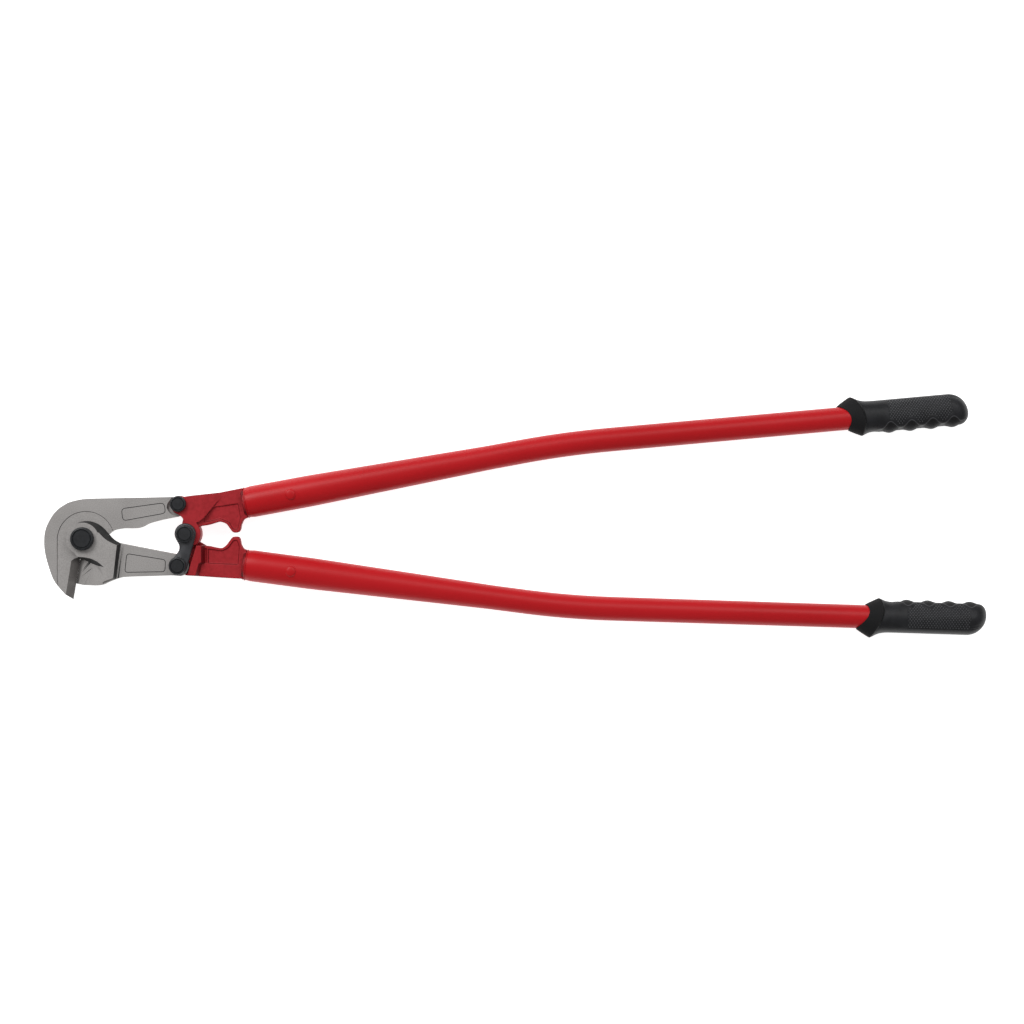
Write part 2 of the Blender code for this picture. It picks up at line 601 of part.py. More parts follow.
# Grips: a flared guard, finger ridges on the inner side and a round end.
def gripReach(u):
    """Distances from the grip's axis to its back, its finger side and its two faces."""
    if u < 0:
        t = (u - GRIP_MOUTH) / -GRIP_MOUTH
        flare = 12.6 + (19.3 - 12.6) * t ** 0.9
        return flare + 1.7 * t, flare, flare
    fade = math.exp(-(u / 7.0) ** 1.6)
    ridge = 0.0
    if u > FINGER_FIRST - FINGER_PITCH / 2:
        ridge = 1.5 + 1.5 * math.cos(math.tau * (u - FINGER_FIRST) / FINGER_PITCH)
    back = 15.2 + 6.0 * fade
    fingers = 15.8 + 3.5 * fade + ridge
    face = 15.0 + 4.4 * fade
    return back, fingers, face


def guardShift(front, side):
    """The guard's mouth and ridge sit further back on the faces and on the finger side."""
    return 7.0 * front ** 2 - 0.2 + 4.6 * side


def grip(name, guard, slope, flip, pivot, material):
    bore = TUBE_THIN + GRIP_GAP + 0.1
    straight = GRIP_LENGTH - END_BACK
    stops = [GRIP_MOUTH, -9.0, -4.5, 0.0, 3.0, 6.5, 10.5, 15.5, 20.0]
    stops += [FINGER_FIRST + FINGER_PITCH * (i - 2) / 4 for i in range(15)]
    stops = [(u, 0.0) for u in sorted(stops) if u < straight - 1.0]
    stops += [(straight, turn) for turn in (0.0, 0.25, 0.5, 0.7, 0.85, 0.95)]
    mesh_data = bmesh.new()

    def place(u, v, w):
        across = v * math.cos(GRIP_ROLL) - w * math.sin(GRIP_ROLL)
        up = v * math.sin(GRIP_ROLL) + w * math.cos(GRIP_ROLL)
        x, y = along(guard, slope, u, -across * flip)
        return mesh_data.verts.new((x, y, up * flip + MID_Z))

    circle = arc((0, 0), 1.0, 0, 360, TUBE_ROUND)[:-1]
    rings = []
    for u, turn in stops:
        ring = []
        for front, side in circle:
            slant = (END_BACK - END_FINGER) * (1 + side) / 2
            station = u + max(0.0, 1 - max(u, 0) / 30.0) * guardShift(front, side)
            station += slant * max(0.0, (u - 60.0) / (straight - 60.0))
            back, fingers, face = gripReach(u if u < 60 else station)
            v = (fingers if side > 0 else back) * side
            w = face * front
            drop = math.cos(turn * math.pi / 2)
            v = END_CENTRE + (v - END_CENTRE) * drop if turn > 0 else v
            station += (END_BACK - slant) * math.sin(turn * math.pi / 2)
            ring.append(place(station, v, w * drop))
        rings.append(ring)
    inner = []
    for u in (straight, GRIP_MOUTH):
        ring = []
        for front, side in circle:
            shift = guardShift(front, side) if u == GRIP_MOUTH else 0.0
            ring.append(place(u + shift, bore * side, bore * front))
        inner.append(ring)
    loop = rings[::-1] + inner[::-1]
    for first, second in zip(loop, loop[1:]):
        for i in range(TUBE_ROUND):
            j = (i + 1) % TUBE_ROUND
            mesh_data.faces.new((first[i], first[j], second[j], second[i]))
    mesh_data.faces.new(rings[-1])
    mesh_data.faces.new(inner[0])
    mesh_data.normal_update()
    bmesh.ops.triangulate(mesh_data, faces=[f for f in mesh_data.faces if len(f.verts) > 4])
    return finish(addObject(name, mesh_data), material, pivot, True)


def onTube(bend, slope, x):
    return (x, bend[1] + (x - bend[0]) * math.tan(slope))


def build():
    clearScene()
    steel = makeMaterial("jaw_steel", (0.36, 0.33, 0.32), 0.85, 0.5)
    black = makeMaterial("black_oxide", (0.02, 0.022, 0.026), 0.6, 0.4)
    plated = makeMaterial("zinc_plate", (0.55, 0.55, 0.56), 1.0, 0.35)
    forging_red = makeMaterial("red_forging", (0.42, 0.015, 0.022), 0.0, 0.45)
    tube_red = makeMaterial("red_tube", (0.42, 0.015, 0.022), 0.0, 0.35)
    rubber = makeMaterial("grip_plastic", (0.012, 0.012, 0.014), 0.0, 0.5)

    hookJaw(steel)
    bladeJaw(steel)
    upperHead(forging_red)
    lowerHead(forging_red)
    linkPlate(black)
    fasteners(black, plated)

    upper_guard = onTube(UPPER_BEND, UPPER_SLOPE, UPPER_GUARD_X)
    lower_guard = onTube(LOWER_BEND, LOWER_SLOPE, LOWER_GUARD_X)
    tube_room = GRIP_LENGTH - END_BACK - 2.0
    upper_path = centreline(UPPER_START, UPPER_BEND, UPPER_SLOPE, UPPER_GUARD_X + tube_room)
    lower_path = centreline(LOWER_START, LOWER_BEND, LOWER_SLOPE, LOWER_GUARD_X + tube_room)
    tube("upper_tube", upper_path, UPPER_START, upperSlope(), HOOK_TAIL_PIN, tube_red)
    tube("lower_tube", lower_path, LOWER_START, lowerSlope(), BLADE_TAIL_PIN, tube_red)
    rivet("upper_tube_rivet", UPPER_START, upperSlope(), HOOK_TAIL_PIN, tube_red)
    rivet("lower_tube_rivet", LOWER_START, lowerSlope(), BLADE_TAIL_PIN, tube_red)
    grip("upper_grip", upper_guard, UPPER_SLOPE, 1, HOOK_TAIL_PIN, rubber)
    grip("lower_grip", lower_guard, LOWER_SLOPE, -1, BLADE_TAIL_PIN, rubber)


build()
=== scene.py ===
import math

import bmesh
import bpy
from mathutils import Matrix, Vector


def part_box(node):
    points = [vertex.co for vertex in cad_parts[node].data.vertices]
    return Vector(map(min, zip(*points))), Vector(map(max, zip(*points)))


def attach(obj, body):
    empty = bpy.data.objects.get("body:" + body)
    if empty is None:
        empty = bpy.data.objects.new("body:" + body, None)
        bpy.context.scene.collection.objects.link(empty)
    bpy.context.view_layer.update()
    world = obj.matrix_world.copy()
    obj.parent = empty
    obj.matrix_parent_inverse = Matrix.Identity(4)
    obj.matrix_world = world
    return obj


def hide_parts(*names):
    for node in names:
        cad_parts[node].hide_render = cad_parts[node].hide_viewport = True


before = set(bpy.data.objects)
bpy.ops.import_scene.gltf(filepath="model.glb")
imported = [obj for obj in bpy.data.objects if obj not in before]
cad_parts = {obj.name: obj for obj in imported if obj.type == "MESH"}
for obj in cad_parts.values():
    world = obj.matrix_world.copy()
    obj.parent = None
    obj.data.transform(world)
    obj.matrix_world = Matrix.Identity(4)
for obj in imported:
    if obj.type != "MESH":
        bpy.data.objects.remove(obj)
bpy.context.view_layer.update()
print("frame loaded")

# Shapes are worked out in millimetres and turned into metres when a piece is finished.
# +X runs from the jaws to the grips, and levels are measured from the jaws' middle plane.
millimetre = 0.001
midHeight = 19.5


def pinAt(node):
    low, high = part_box(node)
    return ((low[0] + high[0]) / 2 / millimetre, (low[1] + high[1]) / 2 / millimetre)


jawPin = pinAt("jaw_pivot_bolt")
hookTailPin = pinAt("hook_jaw_tail_bolt")
bladeTailPin = pinAt("blade_jaw_tail_bolt")
handlePin = pinAt("handle_pivot_bolt")


# Outlines are lists of (x, y) points, and solids are built from them.
def arc(centre, radius, start, end, steps):
    # angles are in degrees
    points = []
    for i in range(steps + 1):
        angle = math.radians(start + (end - start) * i / steps)
        points.append((centre[0] + radius * math.cos(angle), centre[1] + radius * math.sin(angle)))
    return points


def sweep(centre, radiusAt, start, end, steps):
    # an arc whose radius depends on its angle in degrees
    points = []
    for i in range(steps + 1):
        turned = start + (end - start) * i / steps
        points += arc(centre, radiusAt(turned), turned, turned, 1)[:1]
    return points


def curve(points, steps):
    # a smooth line through every point
    smooth = []
    for i in range(len(points) - 1):
        before = Vector(points[max(i - 1, 0)])
        first = Vector(points[i])
        second = Vector(points[i + 1])
        after = Vector(points[min(i + 2, len(points) - 1)])
        for step in range(steps):
            t = step / steps
            spot = 0.5 * (2 * first + (second - before) * t
                          + (2 * before - 5 * first + 4 * second - after) * t * t
                          + (3 * first - before - 3 * second + after) * t ** 3)
            smooth.append((spot.x, spot.y))
    smooth.append(tuple(points[-1]))
    return smooth


def shifted(outline, distance):
    # moves a counter-clockwise outline inward
    moved = []
    for i in range(len(outline)):
        before = Vector(outline[i - 1])
        here = Vector(outline[i])
        after = Vector(outline[(i + 1) % len(outline)])
        first = (here - before).normalized()
        second = (after - here).normalized()
        bisector = Vector((-(first.y + second.y), first.x + second.x)).normalized()
        stretch = max(0.4, bisector.dot(Vector((-first.y, first.x))))
        moved.append(tuple(here + bisector * (distance / stretch)))
    return moved


def easing(value, low, high):
    # 0 below low, 1 above high, eased between them
    t = min(1.0, max(0.0, (value - low) / (high - low)))
    return t * t * (3 - 2 * t)


def roundedCorners(corners, radius, steps):
    # an outline with each corner swapped for a short curve
    outline = []
    for i in range(len(corners)):
        here = Vector(corners[i])
        start = here + (Vector(corners[i - 1]) - here).normalized() * radius
        end = here + (Vector(corners[(i + 1) % len(corners)]) - here).normalized() * radius
        for step in range(steps + 1):
            t = step / steps
            outline.append(tuple((1 - t) ** 2 * start + 2 * t * (1 - t) * here + t * t * end))
    return outline


def levelAt(level, point):
    # a level is a number, or a sloping plane: start, rise per X and rise per Y
    if isinstance(level, tuple):
        return level[0] + level[1] * point[0] + level[2] * point[1]
    return level


def newObject(name, shape):
    bmesh.ops.recalc_face_normals(shape, faces=shape.faces)
    mesh = bpy.data.meshes.new(name)
    shape.to_mesh(mesh)
    shape.free()
    item = bpy.data.objects.new(name, mesh)
    bpy.context.scene.collection.objects.link(item)
    return item


def skin(shape, rings, closedLoop=False):
    # joins rings of equal length, in order
    following = rings[1:] + rings[:1] if closedLoop else rings[1:]
    for first, second in zip(rings, following):
        for i in range(len(first)):
            j = (i + 1) % len(first)
            shape.faces.new((first[i], first[j], second[j], second[i]))


def ring(shape, outline, level):
    return [shape.verts.new((x, y, levelAt(level, (x, y)) + midHeight)) for x, y in outline]


def capped(name, shape, rings):
    # a solid through rings, closed by a face at each end
    shape.faces.new(rings[0][::-1])
    shape.faces.new(rings[-1])
    skin(shape, rings)
    shape.normal_update()
    bmesh.ops.triangulate(shape, faces=[f for f in shape.faces if len(f.verts) > 4])
    return newObject(name, shape)


def block(name, *layers):
    # a closed block through two or more (outline, level) layers
    shape = bmesh.new()
    return capped(name, shape, [ring(shape, outline, level) for outline, level in layers])


def groove(name, outline, width, low, high):
    # a closed ring that follows an outline, for cutting an engraved line
    outer = shifted(outline, -width / 2)
    inner = shifted(outline, width / 2)
    shape = bmesh.new()
    corners = ((outer, low), (outer, high), (inner, high), (inner, low))
    skin(shape, [ring(shape, path, level) for path, level in corners], True)
    return newObject(name, shape)


def lathe(name, centre, profile, segments):
    # a turned piece about an upright axis, from (radius, level) pairs
    shape = bmesh.new()
    rings = []
    for radius, level in profile:
        if radius == 0:
            rings.append(ring(shape, [centre], level))
        else:
            rings.append(ring(shape, arc(centre, radius, 0, 360, segments)[:-1], level))
    closed = profile[0][0] != 0
    for first, second in zip(rings, rings[1:] + rings[:1] if closed else rings[1:]):
        for i in range(segments):
            j = (i + 1) % segments
            if len(first) == 1:
                shape.faces.new((first[0], second[i], second[j]))
            elif len(second) == 1:
                shape.faces.new((first[i], first[j], second[0]))
            else:
                shape.faces.new((first[i], first[j], second[j], second[i]))
    return newObject(name, shape)


def slab(outline, low, high):
    return block("slab", (outline, low), (outline, high))


def drum(centre, radius, low, high):
    return slab(arc(centre, radius, 0, 360, 64)[:-1], low, high)


def hole(centre, radius):
    # a drum that cuts right through the tool
    return drum(centre, radius, -20, 20)


def applyModifier(item, kind, **settings):
    modifier = item.modifiers.new(kind.lower(), kind)
    for key, value in settings.items():
        setattr(modifier, key, value)
    with bpy.context.temp_override(object=item, active_object=item, selected_objects=[item]):
        bpy.ops.object.modifier_apply(modifier=modifier.name)


def tidyMesh(item):
    shape = bmesh.new()
    shape.from_mesh(item.data)
    bmesh.ops.remove_doubles(shape, verts=shape.verts, dist=0.0001)
    bmesh.ops.dissolve_degenerate(shape, dist=0.0001, edges=shape.edges)
    shape.normal_update()
    bmesh.ops.triangulate(shape, faces=shape.faces)
    shape.to_mesh(item.data)
    shape.free()


def combine(item, others, operation):
    for other in others:
        applyModifier(item, "BOOLEAN", operation=operation, solver="EXACT", object=other)
        bpy.data.objects.remove(other, do_unlink=True)
        tidyMesh(item)
    return item


def softenCast(item, voxel, passes):
    # an even mesh with the round edges of a forging
    applyModifier(item, "REMESH", mode="VOXEL", voxel_size=voxel)
    applyModifier(item, "SMOOTH", factor=0.5, iterations=passes)
    applyModifier(item, "DECIMATE", ratio=0.45)


def markPaintedShade(item, depth):
    # painted shade: how strongly each corner of each face is darkened, 0 to 1, for its finish
    marks = item.data.attributes.new("paintedShade", "FLOAT", "CORNER")
    for polygon in item.data.polygons:
        for corner in polygon.loop_indices:
            vertex = item.data.vertices[item.data.loops[corner].vertex_index]
            spot = (vertex.co.x, vertex.co.y, vertex.co.z - midHeight)
            marks.data[corner].value = depth(*spot, vertex.normal, polygon.normal)


def finishPiece(item, materials, body, node, smoothAngle=35):
    for vertex in item.data.vertices:
        vertex.co = vertex.co * millimetre
    for material in materials:
        item.data.materials.append(material)
    for polygon in item.data.polygons:
        polygon.use_smooth = True
    item.data.set_sharp_from_angle(angle=math.radians(smoothAngle))
    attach(item, body)
    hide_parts(node)
    return item


# Shader values and finishes.
class Tone:
    # a shader value that takes part in sums
    def __init__(self, finish, socket):
        self.finish = finish
        self.socket = socket

    def worked(self, operation, first, second):
        return self.finish.node("ShaderNodeMath", {"operation": operation}, {0: first, 1: second})

    def __add__(self, other):
        return self.worked("ADD", self, other)

    def __radd__(self, other):
        return self.worked("ADD", other, self)

    def __sub__(self, other):
        return self.worked("SUBTRACT", self, other)

    def __rsub__(self, other):
        return self.worked("SUBTRACT", other, self)

    def __mul__(self, other):
        return self.worked("MULTIPLY", self, other)

    def __rmul__(self, other):
        return self.worked("MULTIPLY", other, self)


class Finish:
    # one material: its shader, its nodes and the patterns they share
    def __init__(self, name, metallic, coat=0.0, specular=0.5):
        self.material = bpy.data.materials.new(name)
        self.material.use_nodes = True
        self.tree = self.material.node_tree
        self.shader = self.tree.nodes["Principled BSDF"]
        self.shader.inputs["Metallic"].default_value = metallic
        self.shader.inputs["Coat Weight"].default_value = coat
        self.shader.inputs["Coat Roughness"].default_value = 0.18
        self.shader.inputs["Specular IOR Level"].default_value = specular
        self.place = self.node("ShaderNodeTexCoord", {}, {}, "Object")

    def feed(self, inlet, value):
        if isinstance(value, Tone):
            self.tree.links.new(value.socket, inlet)
        else:
            inlet.default_value = value

    def node(self, kind, settings, values, outlet=0):
        made = self.tree.nodes.new(kind)
        for key, value in settings.items():
            setattr(made, key, value)
        for key, value in values.items():
            self.feed(made.inputs[key], value)
        return Tone(self, made.outputs[outlet])

    def speckle(self, size, detail=2.0, stretch=(1, 1, 1)):
        # noise whose patches are about this many millimetres across
        place = self.node("ShaderNodeVectorMath", {"operation": "MULTIPLY"}, {0: self.place, 1: stretch})
        scale = 1 / (size * millimetre)
        return self.node("ShaderNodeTexNoise", {}, {"Vector": place, "Scale": scale, "Detail": detail})

    def between(self, value, low, high):
        # 0 below low, 1 above high, eased between them
        span = {"Value": value, "From Min": low, "From Max": high}
        return self.node("ShaderNodeMapRange", {"interpolation_type": "SMOOTHSTEP"}, span)

    def tint(self, amount, first, second):
        # colours go in at the Mix node's sixth and seventh sockets
        return self.node("ShaderNodeMix", {"data_type": "RGBA"}, {0: amount, 6: first, 7: second}, 2)

    def mottled(self, pattern, low, high, look):
        return self.tint(self.between(pattern, low, high), look["dark"], look["light"])

    def edgeWearAndHighlight(self, radius, patches):
        # wear and painted highlight: where corners are sharp, broken up by patches
        rounded = self.node("ShaderNodeBevel", {"samples": 4}, {"Radius": radius * millimetre})
        flat = self.node("ShaderNodeNewGeometry", {}, {}, "Normal")
        match = self.node("ShaderNodeVectorMath", {"operation": "DOT_PRODUCT"}, {0: rounded, 1: flat}, "Value")
        return self.between(1 - match, 0.02, 0.22) * self.between(patches, 0.4, 0.62)

    def paintedShade(self, colour, dark):
        # painted shade: darkens the points that the piece marks as lying in shade
        mark = self.node("ShaderNodeAttribute", {"attribute_name": "paintedShade"}, {}, "Fac")
        return self.tint(mark, colour, dark)

    def bump(self, height, strength, depth):
        values = {"Height": height, "Strength": strength, "Distance": depth * millimetre}
        return self.node("ShaderNodeBump", {}, values)

    def paint(self, colour, roughness, normal):
        self.feed(self.shader.inputs["Base Color"], colour)
        self.feed(self.shader.inputs["Roughness"], roughness)
        self.feed(self.shader.inputs["Normal"], normal)
        return self.material


def grey(value, warmth=0.0):
    return (value * (1 + warmth), value, value * (1 - warmth * 0.6), 1.0)


blastedSteelLook = {"dark": grey(0.245, 0.05), "light": grey(0.33, 0.045), "wearAndHighlight": grey(0.42, 0.02),
                    "shaded": grey(0.03, 0.05), "grain": 0.9, "grainDepth": 0.07}


def blastedSteel():
    look = blastedSteelLook
    finish = Finish("blasted steel", 0.35)
    grain = finish.speckle(look["grain"], 3.0)
    cloud = finish.speckle(30.0, 3.0)
    colour = finish.mottled(grain * 0.75 + cloud * 0.25, 0.34, 0.66, look)
    colour = finish.tint(finish.edgeWearAndHighlight(0.5, finish.speckle(3.0)) * 0.5, colour, look["wearAndHighlight"])
    colour = finish.paintedShade(colour, look["shaded"])
    return finish.paint(colour, 0.44 + grain * 0.14 + cloud * 0.06, finish.bump(grain, 0.5, look["grainDepth"]))


groundSteelAndShadeLook = {"dark": grey(0.10, 0.08), "light": grey(0.15, 0.07), "markWidth": 0.25, "markDepth": 0.03}


# ground finish with grinding marks, made dark so that it also stands for the shade on the bevels it is given to
def groundSteelAndShade():
    look = groundSteelAndShadeLook
    finish = Finish("ground steel and painted shade", 0.25)
    marks = finish.speckle(look["markWidth"], 2.0, (0.05, 1, 0.2))
    cloud = finish.speckle(9.0, 3.0)
    colour = finish.mottled(marks * 0.5 + cloud * 0.5, 0.36, 0.64, look)
    return finish.paint(colour, 0.36 + marks * 0.12 + cloud * 0.08, finish.bump(marks, 0.4, look["markDepth"]))


scaleAndShadeLook = {"dark": grey(0.012), "light": grey(0.028), "grain": 0.8, "grainDepth": 0.08}


def scaleAndShadeBlack():
    look = scaleAndShadeLook
    finish = Finish("forge scale and painted shade", 0.2)
    grain = finish.speckle(look["grain"], 4.0)
    cloud = finish.speckle(6.0, 3.0)
    colour = finish.mottled(grain * 0.5 + cloud * 0.5, 0.35, 0.65, look)
    return finish.paint(colour, 0.5 + grain * 0.2, finish.bump(grain, 0.6, look["grainDepth"]))


redCoatLook = {"dark": (0.275, 0.0085, 0.0125, 1.0), "light": (0.345, 0.0135, 0.0195, 1.0),
               "scuffAndHighlight": (0.46, 0.17, 0.16, 1.0), "shaded": (0.07, 0.002, 0.0035, 1.0), "peel": 1.1, "peelDepth": 0.07}


def redForging():
    look = redCoatLook
    finish = Finish("red forging coat", 0.0, 0.0, 0.22)
    peel = finish.speckle(look["peel"], 3.0)
    cast = finish.speckle(3.5, 4.0)
    cloud = finish.speckle(22.0, 2.0)
    colour = finish.mottled(cast * 0.5 + cloud * 0.5, 0.36, 0.62, look)
    scuffsAndHighlights = finish.edgeWearAndHighlight(0.8, finish.speckle(2.2, 3.0)) * 0.3
    colour = finish.paintedShade(finish.tint(scuffsAndHighlights, colour, look["scuffAndHighlight"]), look["shaded"])
    return finish.paint(colour, 0.42 + peel * 0.16, finish.bump(peel * 0.5 + cast * 0.5, 0.7, look["peelDepth"]))


redTubeLook = {"dark": (0.395, 0.0035, 0.0065, 1.0), "light": (0.455, 0.0055, 0.0095, 1.0), "peel": 1.6,
               "peelDepth": 0.02}


def redTube():
    look = redTubeLook
    finish = Finish("red tube coat", 0.0, 0.0, 0.22)
    peel = finish.speckle(look["peel"], 2.0)
    cloud = finish.speckle(60.0, 3.0, (0.3, 1, 1))
    colour = finish.mottled(cloud * 0.7 + peel * 0.3, 0.36, 0.62, look)
    return finish.paint(colour, 0.3 + peel * 0.06 + cloud * 0.08, finish.bump(peel, 0.5, look["peelDepth"]))


blackOxideLook = {"dark": (0.006, 0.0068, 0.0082, 1.0), "light": (0.0125, 0.0135, 0.016, 1.0),
                  "wearAndHighlight": (0.075, 0.078, 0.085, 1.0), "pits": 0.7, "pitDepth": 0.04}


def blackOxide():
    look = blackOxideLook
    finish = Finish("black oxide", 0.0, 0.0, 0.35)
    pits = finish.speckle(look["pits"], 4.0)
    cloud = finish.speckle(4.0, 3.0)
    colour = finish.mottled(cloud * 0.6 + pits * 0.4, 0.36, 0.64, look)
    colour = finish.tint(finish.edgeWearAndHighlight(0.4, finish.speckle(1.8)) * 0.6, colour, look["wearAndHighlight"])
    return finish.paint(colour, 0.34 + pits * 0.2, finish.bump(pits, 0.5, look["pitDepth"]))


linkCoatLook = {"dark": (0.0225, 0.023, 0.0265, 1.0), "light": (0.035, 0.0355, 0.04, 1.0),
                "wearAndHighlight": (0.10, 0.108, 0.125, 1.0), "grain": 1.0, "grainDepth": 0.05}


def linkCoat():
    look = linkCoatLook
    finish = Finish("link plate coat", 0.2)
    grain = finish.speckle(look["grain"], 3.0)
    cloud = finish.speckle(8.0, 3.0)
    colour = finish.mottled(cloud * 0.6 + grain * 0.4, 0.36, 0.64, look)
    colour = finish.tint(finish.edgeWearAndHighlight(0.7, finish.speckle(3.0)) * 0.5, colour, look["wearAndHighlight"])
    return finish.paint(colour, 0.4 + grain * 0.15, finish.bump(grain, 0.6, look["grainDepth"]))


zincLook = {"dark": grey(0.42), "light": grey(0.6, 0.02), "spangle": 1.4, "depth": 0.02}


def zincPlate():
    look = zincLook
    finish = Finish("zinc plate", 0.9)
    spangle = finish.speckle(look["spangle"], 3.0)
    colour = finish.mottled(spangle, 0.38, 0.62, look)
    return finish.paint(colour, 0.26 + spangle * 0.2, finish.bump(spangle, 0.4, look["depth"]))


gripPlasticLook = {"dark": (0.0075, 0.0078, 0.0092, 1.0), "light": (0.012, 0.0125, 0.0145, 1.0),
                   "tip": (0.072, 0.072, 0.078, 1.0), "guard": (0.003, 0.003, 0.0036, 1.0), "grain": 0.5,
                   "grainDepth": 0.04}


def gripPlastic():
    look = gripPlasticLook
    finish = Finish("grip plastic", 0.0, 0.0, 0.24)
    grain = finish.speckle(look["grain"], 2.0)
    cloud = finish.speckle(12.0, 3.0)
    colour = finish.mottled(cloud, 0.38, 0.62, look)
    # the knurl tips are lighter for wear and painted highlight; the crease line is a painted highlight
    tipHighlights = finish.node("ShaderNodeAttribute", {"attribute_name": "tipHighlight"}, {}, "Fac")
    colour = finish.tint(finish.between(tipHighlights, 0.55, 1.0) * 0.8, colour, look["tip"])
    # painted shade: the guard and the scooped finger facets are darker; the guard is rougher too
    guard = finish.node("ShaderNodeAttribute", {"attribute_name": "guard"}, {}, "Fac")
    colour = finish.tint(guard, colour, look["guard"])
    roughness = 0.34 + grain * 0.12 + cloud * 0.1 + guard * 0.3
    return finish.paint(colour, roughness, finish.bump(grain, 0.5, look["grainDepth"]))


steel = blastedSteel()
groundAndShade = groundSteelAndShade()
# the near-black forge scale finish is also the painted shade on the jaws' walls, steps and engraved lines
scale = scaleAndShadeBlack()
redHead = redForging()
redCoat = redTube()
oxide = blackOxide()
linkBlack = linkCoat()
zinc = zincPlate()
plastic = gripPlastic()
print("finishes made")


jaw = {
    "half": 7.5, "tongueHalf": 3.8, "headLow": 7.2, "headHigh": 15.2,
    "bedFloor": 6.9, "bedCentre": (2.1, -1.3), "bedRadius": 28.5, "seatNear": 9.3, "seatFar": 12.4, "bevelRun": 8.2,
    "lapRadius": 19.0, "lapGap": 0.35, "edgeGap": 0.01, "edgeTop": (-4.8, -20.9), "edgeTip": (-11.4, -61.0),
    "pivotHole": 7.1, "pinHole": 5.1, "lineWidth": 0.75, "lineDepth": 0.45,
}
edgeLean = (jaw["edgeTip"][0] - jaw["edgeTop"][0]) / (jaw["edgeTip"][1] - jaw["edgeTop"][1])


def edgeX(y):
    # X of the line where the two cutting edges meet
    return jaw["edgeTop"][0] + edgeLean * (y - jaw["edgeTop"][1])


def edgePrism(name, profile, low, high):
    # a bar along the cutting edge, from (distance from the edge, level) pairs
    shape = bmesh.new()
    rings = [[shape.verts.new((edgeX(y) + d, y, z + midHeight)) for d, z in profile] for y in (low, high)]
    return capped(name, shape, rings)


def hookOutline():
    back = curve([(10.4, 40.5), (-2.0, 39.7), (-13.7, 37.0), (-19.7, 34.0), (-25.8, 29.7), (-31.8, 22.9),
                  (-37.8, 11.2), (-39.8, -1.1), (-38.3, -16.9), (-31.8, -37.9), (-25.8, -47.8), (-18.5, -56.0)], 8)
    throat = curve([(23.4, 4.0), (28.5, 8.0), (34.5, 9.7), (42.0, 10.5), (52.0, 10.5), (58.7, 12.2),
                    (64.7, 15.3), (76.7, 18.7), (94.9, 22.4)], 6)
    tail = [(98.4, 23.9)] + arc(hookTailPin, 8.3, -44, 60, 20) + [(96.3, 42.2)]
    lap = arc(jawPin, jaw["lapRadius"], -95, 8, 48)
    return back + [jaw["edgeTip"], jaw["edgeTop"]] + lap + throat + tail


def hookBevel(name, side):
    # the wedge taken off one side of the hook, with its upper end swept round
    rise = jaw["half"] / jaw["bevelRun"]
    start = jaw["edgeTop"][0] - edgeLean * jaw["edgeTop"][1]
    plane = (side * rise * start, -side * rise, side * rise * edgeLean)
    far = jaw["bevelRun"] + 2.0
    corner = curve([(-4.0, -18.8), (-7.5, -19.3), (-10.6, -20.6), (edgeX(-24) - far, -24.5)], 6)
    outline = [(edgeX(-66) - far, -66), (12, -66), (12, -20.0)] + corner
    if side > 0:
        return block(name, (outline, plane), (outline, jaw["half"] + 4.0))
    return block(name, (outline, -jaw["half"] - 4.0), (outline, plane))


def paintFaces(item, index, test):
    # gives one of the piece's other materials to the faces that pass
    for polygon in item.data.polygons:
        centre = polygon.center
        if test(centre.x, centre.y, centre.z - midHeight, polygon.normal):
            polygon.material_index = index


# the hook's cutting bevel gets the darker ground finish, which also stands for the bevel's shade
def isCuttingBevel(x, y, z, normal):
    return y < -19.0 and x < 4.0 and 0.3 < abs(normal.z) < 0.88


def isLine(x, y, z, normal):
    # the engraved panel line and the low step round the machined bed; their faces get the near-black forge scale
    # finish, which also stands for the shade in the groove and on the step
    return jaw["bedFloor"] + 0.05 < z < jaw["half"] - 0.05 and (normal.z > 0.5 or abs(normal.z) < 0.3)


def hookJaw():
    half = jaw["half"]
    item = block("hookJaw", (hookOutline(), -half), (hookOutline(), half))
    beyond = [(140, -20), (140, 70), (90, 70)]

    def seatRadius(turned):
        return jaw["seatNear"] + (jaw["seatFar"] - jaw["seatNear"]) * easing(turned, 150, 204)

    def bedOutline(spread):
        # the machined bed, with its rim spread outward
        straight = [(-26.4 - spread, -41.0), (-24.0 - spread, -70.0), (30.0 + spread, -70.0)]
        return arc(jaw["bedCentre"], jaw["bedRadius"] + spread, -10, 180, 80) + straight

    seat = sweep(hookTailPin, seatRadius, 125, 262, 40) + beyond
    panel = roundedCorners([(37.9, 30.2), (80.7, 36.1), (82.4, 25.8), (39.4, 18.0)][::-1], 4.0, 6)
    combine(item, [
        slab(seat, jaw["tongueHalf"], half + 2),
        slab(seat, -half - 2, -jaw["tongueHalf"]),
        block("bed", (bedOutline(0), jaw["bedFloor"]), (bedOutline(0.75), half + 0.3)),
        hookBevel("bevelFront", 1),
        hookBevel("bevelRear", -1),
        groove("panelLine", panel, jaw["lineWidth"], half - jaw["lineDepth"], half + 1),
        hole(jawPin, jaw["pivotHole"]),
        hole(hookTailPin, jaw["pinHole"]),
    ], "DIFFERENCE")
    paintFaces(item, 1, isLine)
    paintFaces(item, 2, isCuttingBevel)
    return finishPiece(item, [steel, scale, groundAndShade], "hook_jaw_body", "hook_jaw")


def bladeEdge():
    return [(edgeX(y) + jaw["edgeGap"], y) for y in (-45.0, -22.0)]


def bladeFoot():
    return curve([(30.5, -41.1), (22.5, -44.4), (19.2, -46.2), (12.8, -46.8), (-1.0, -46.4)], 6)


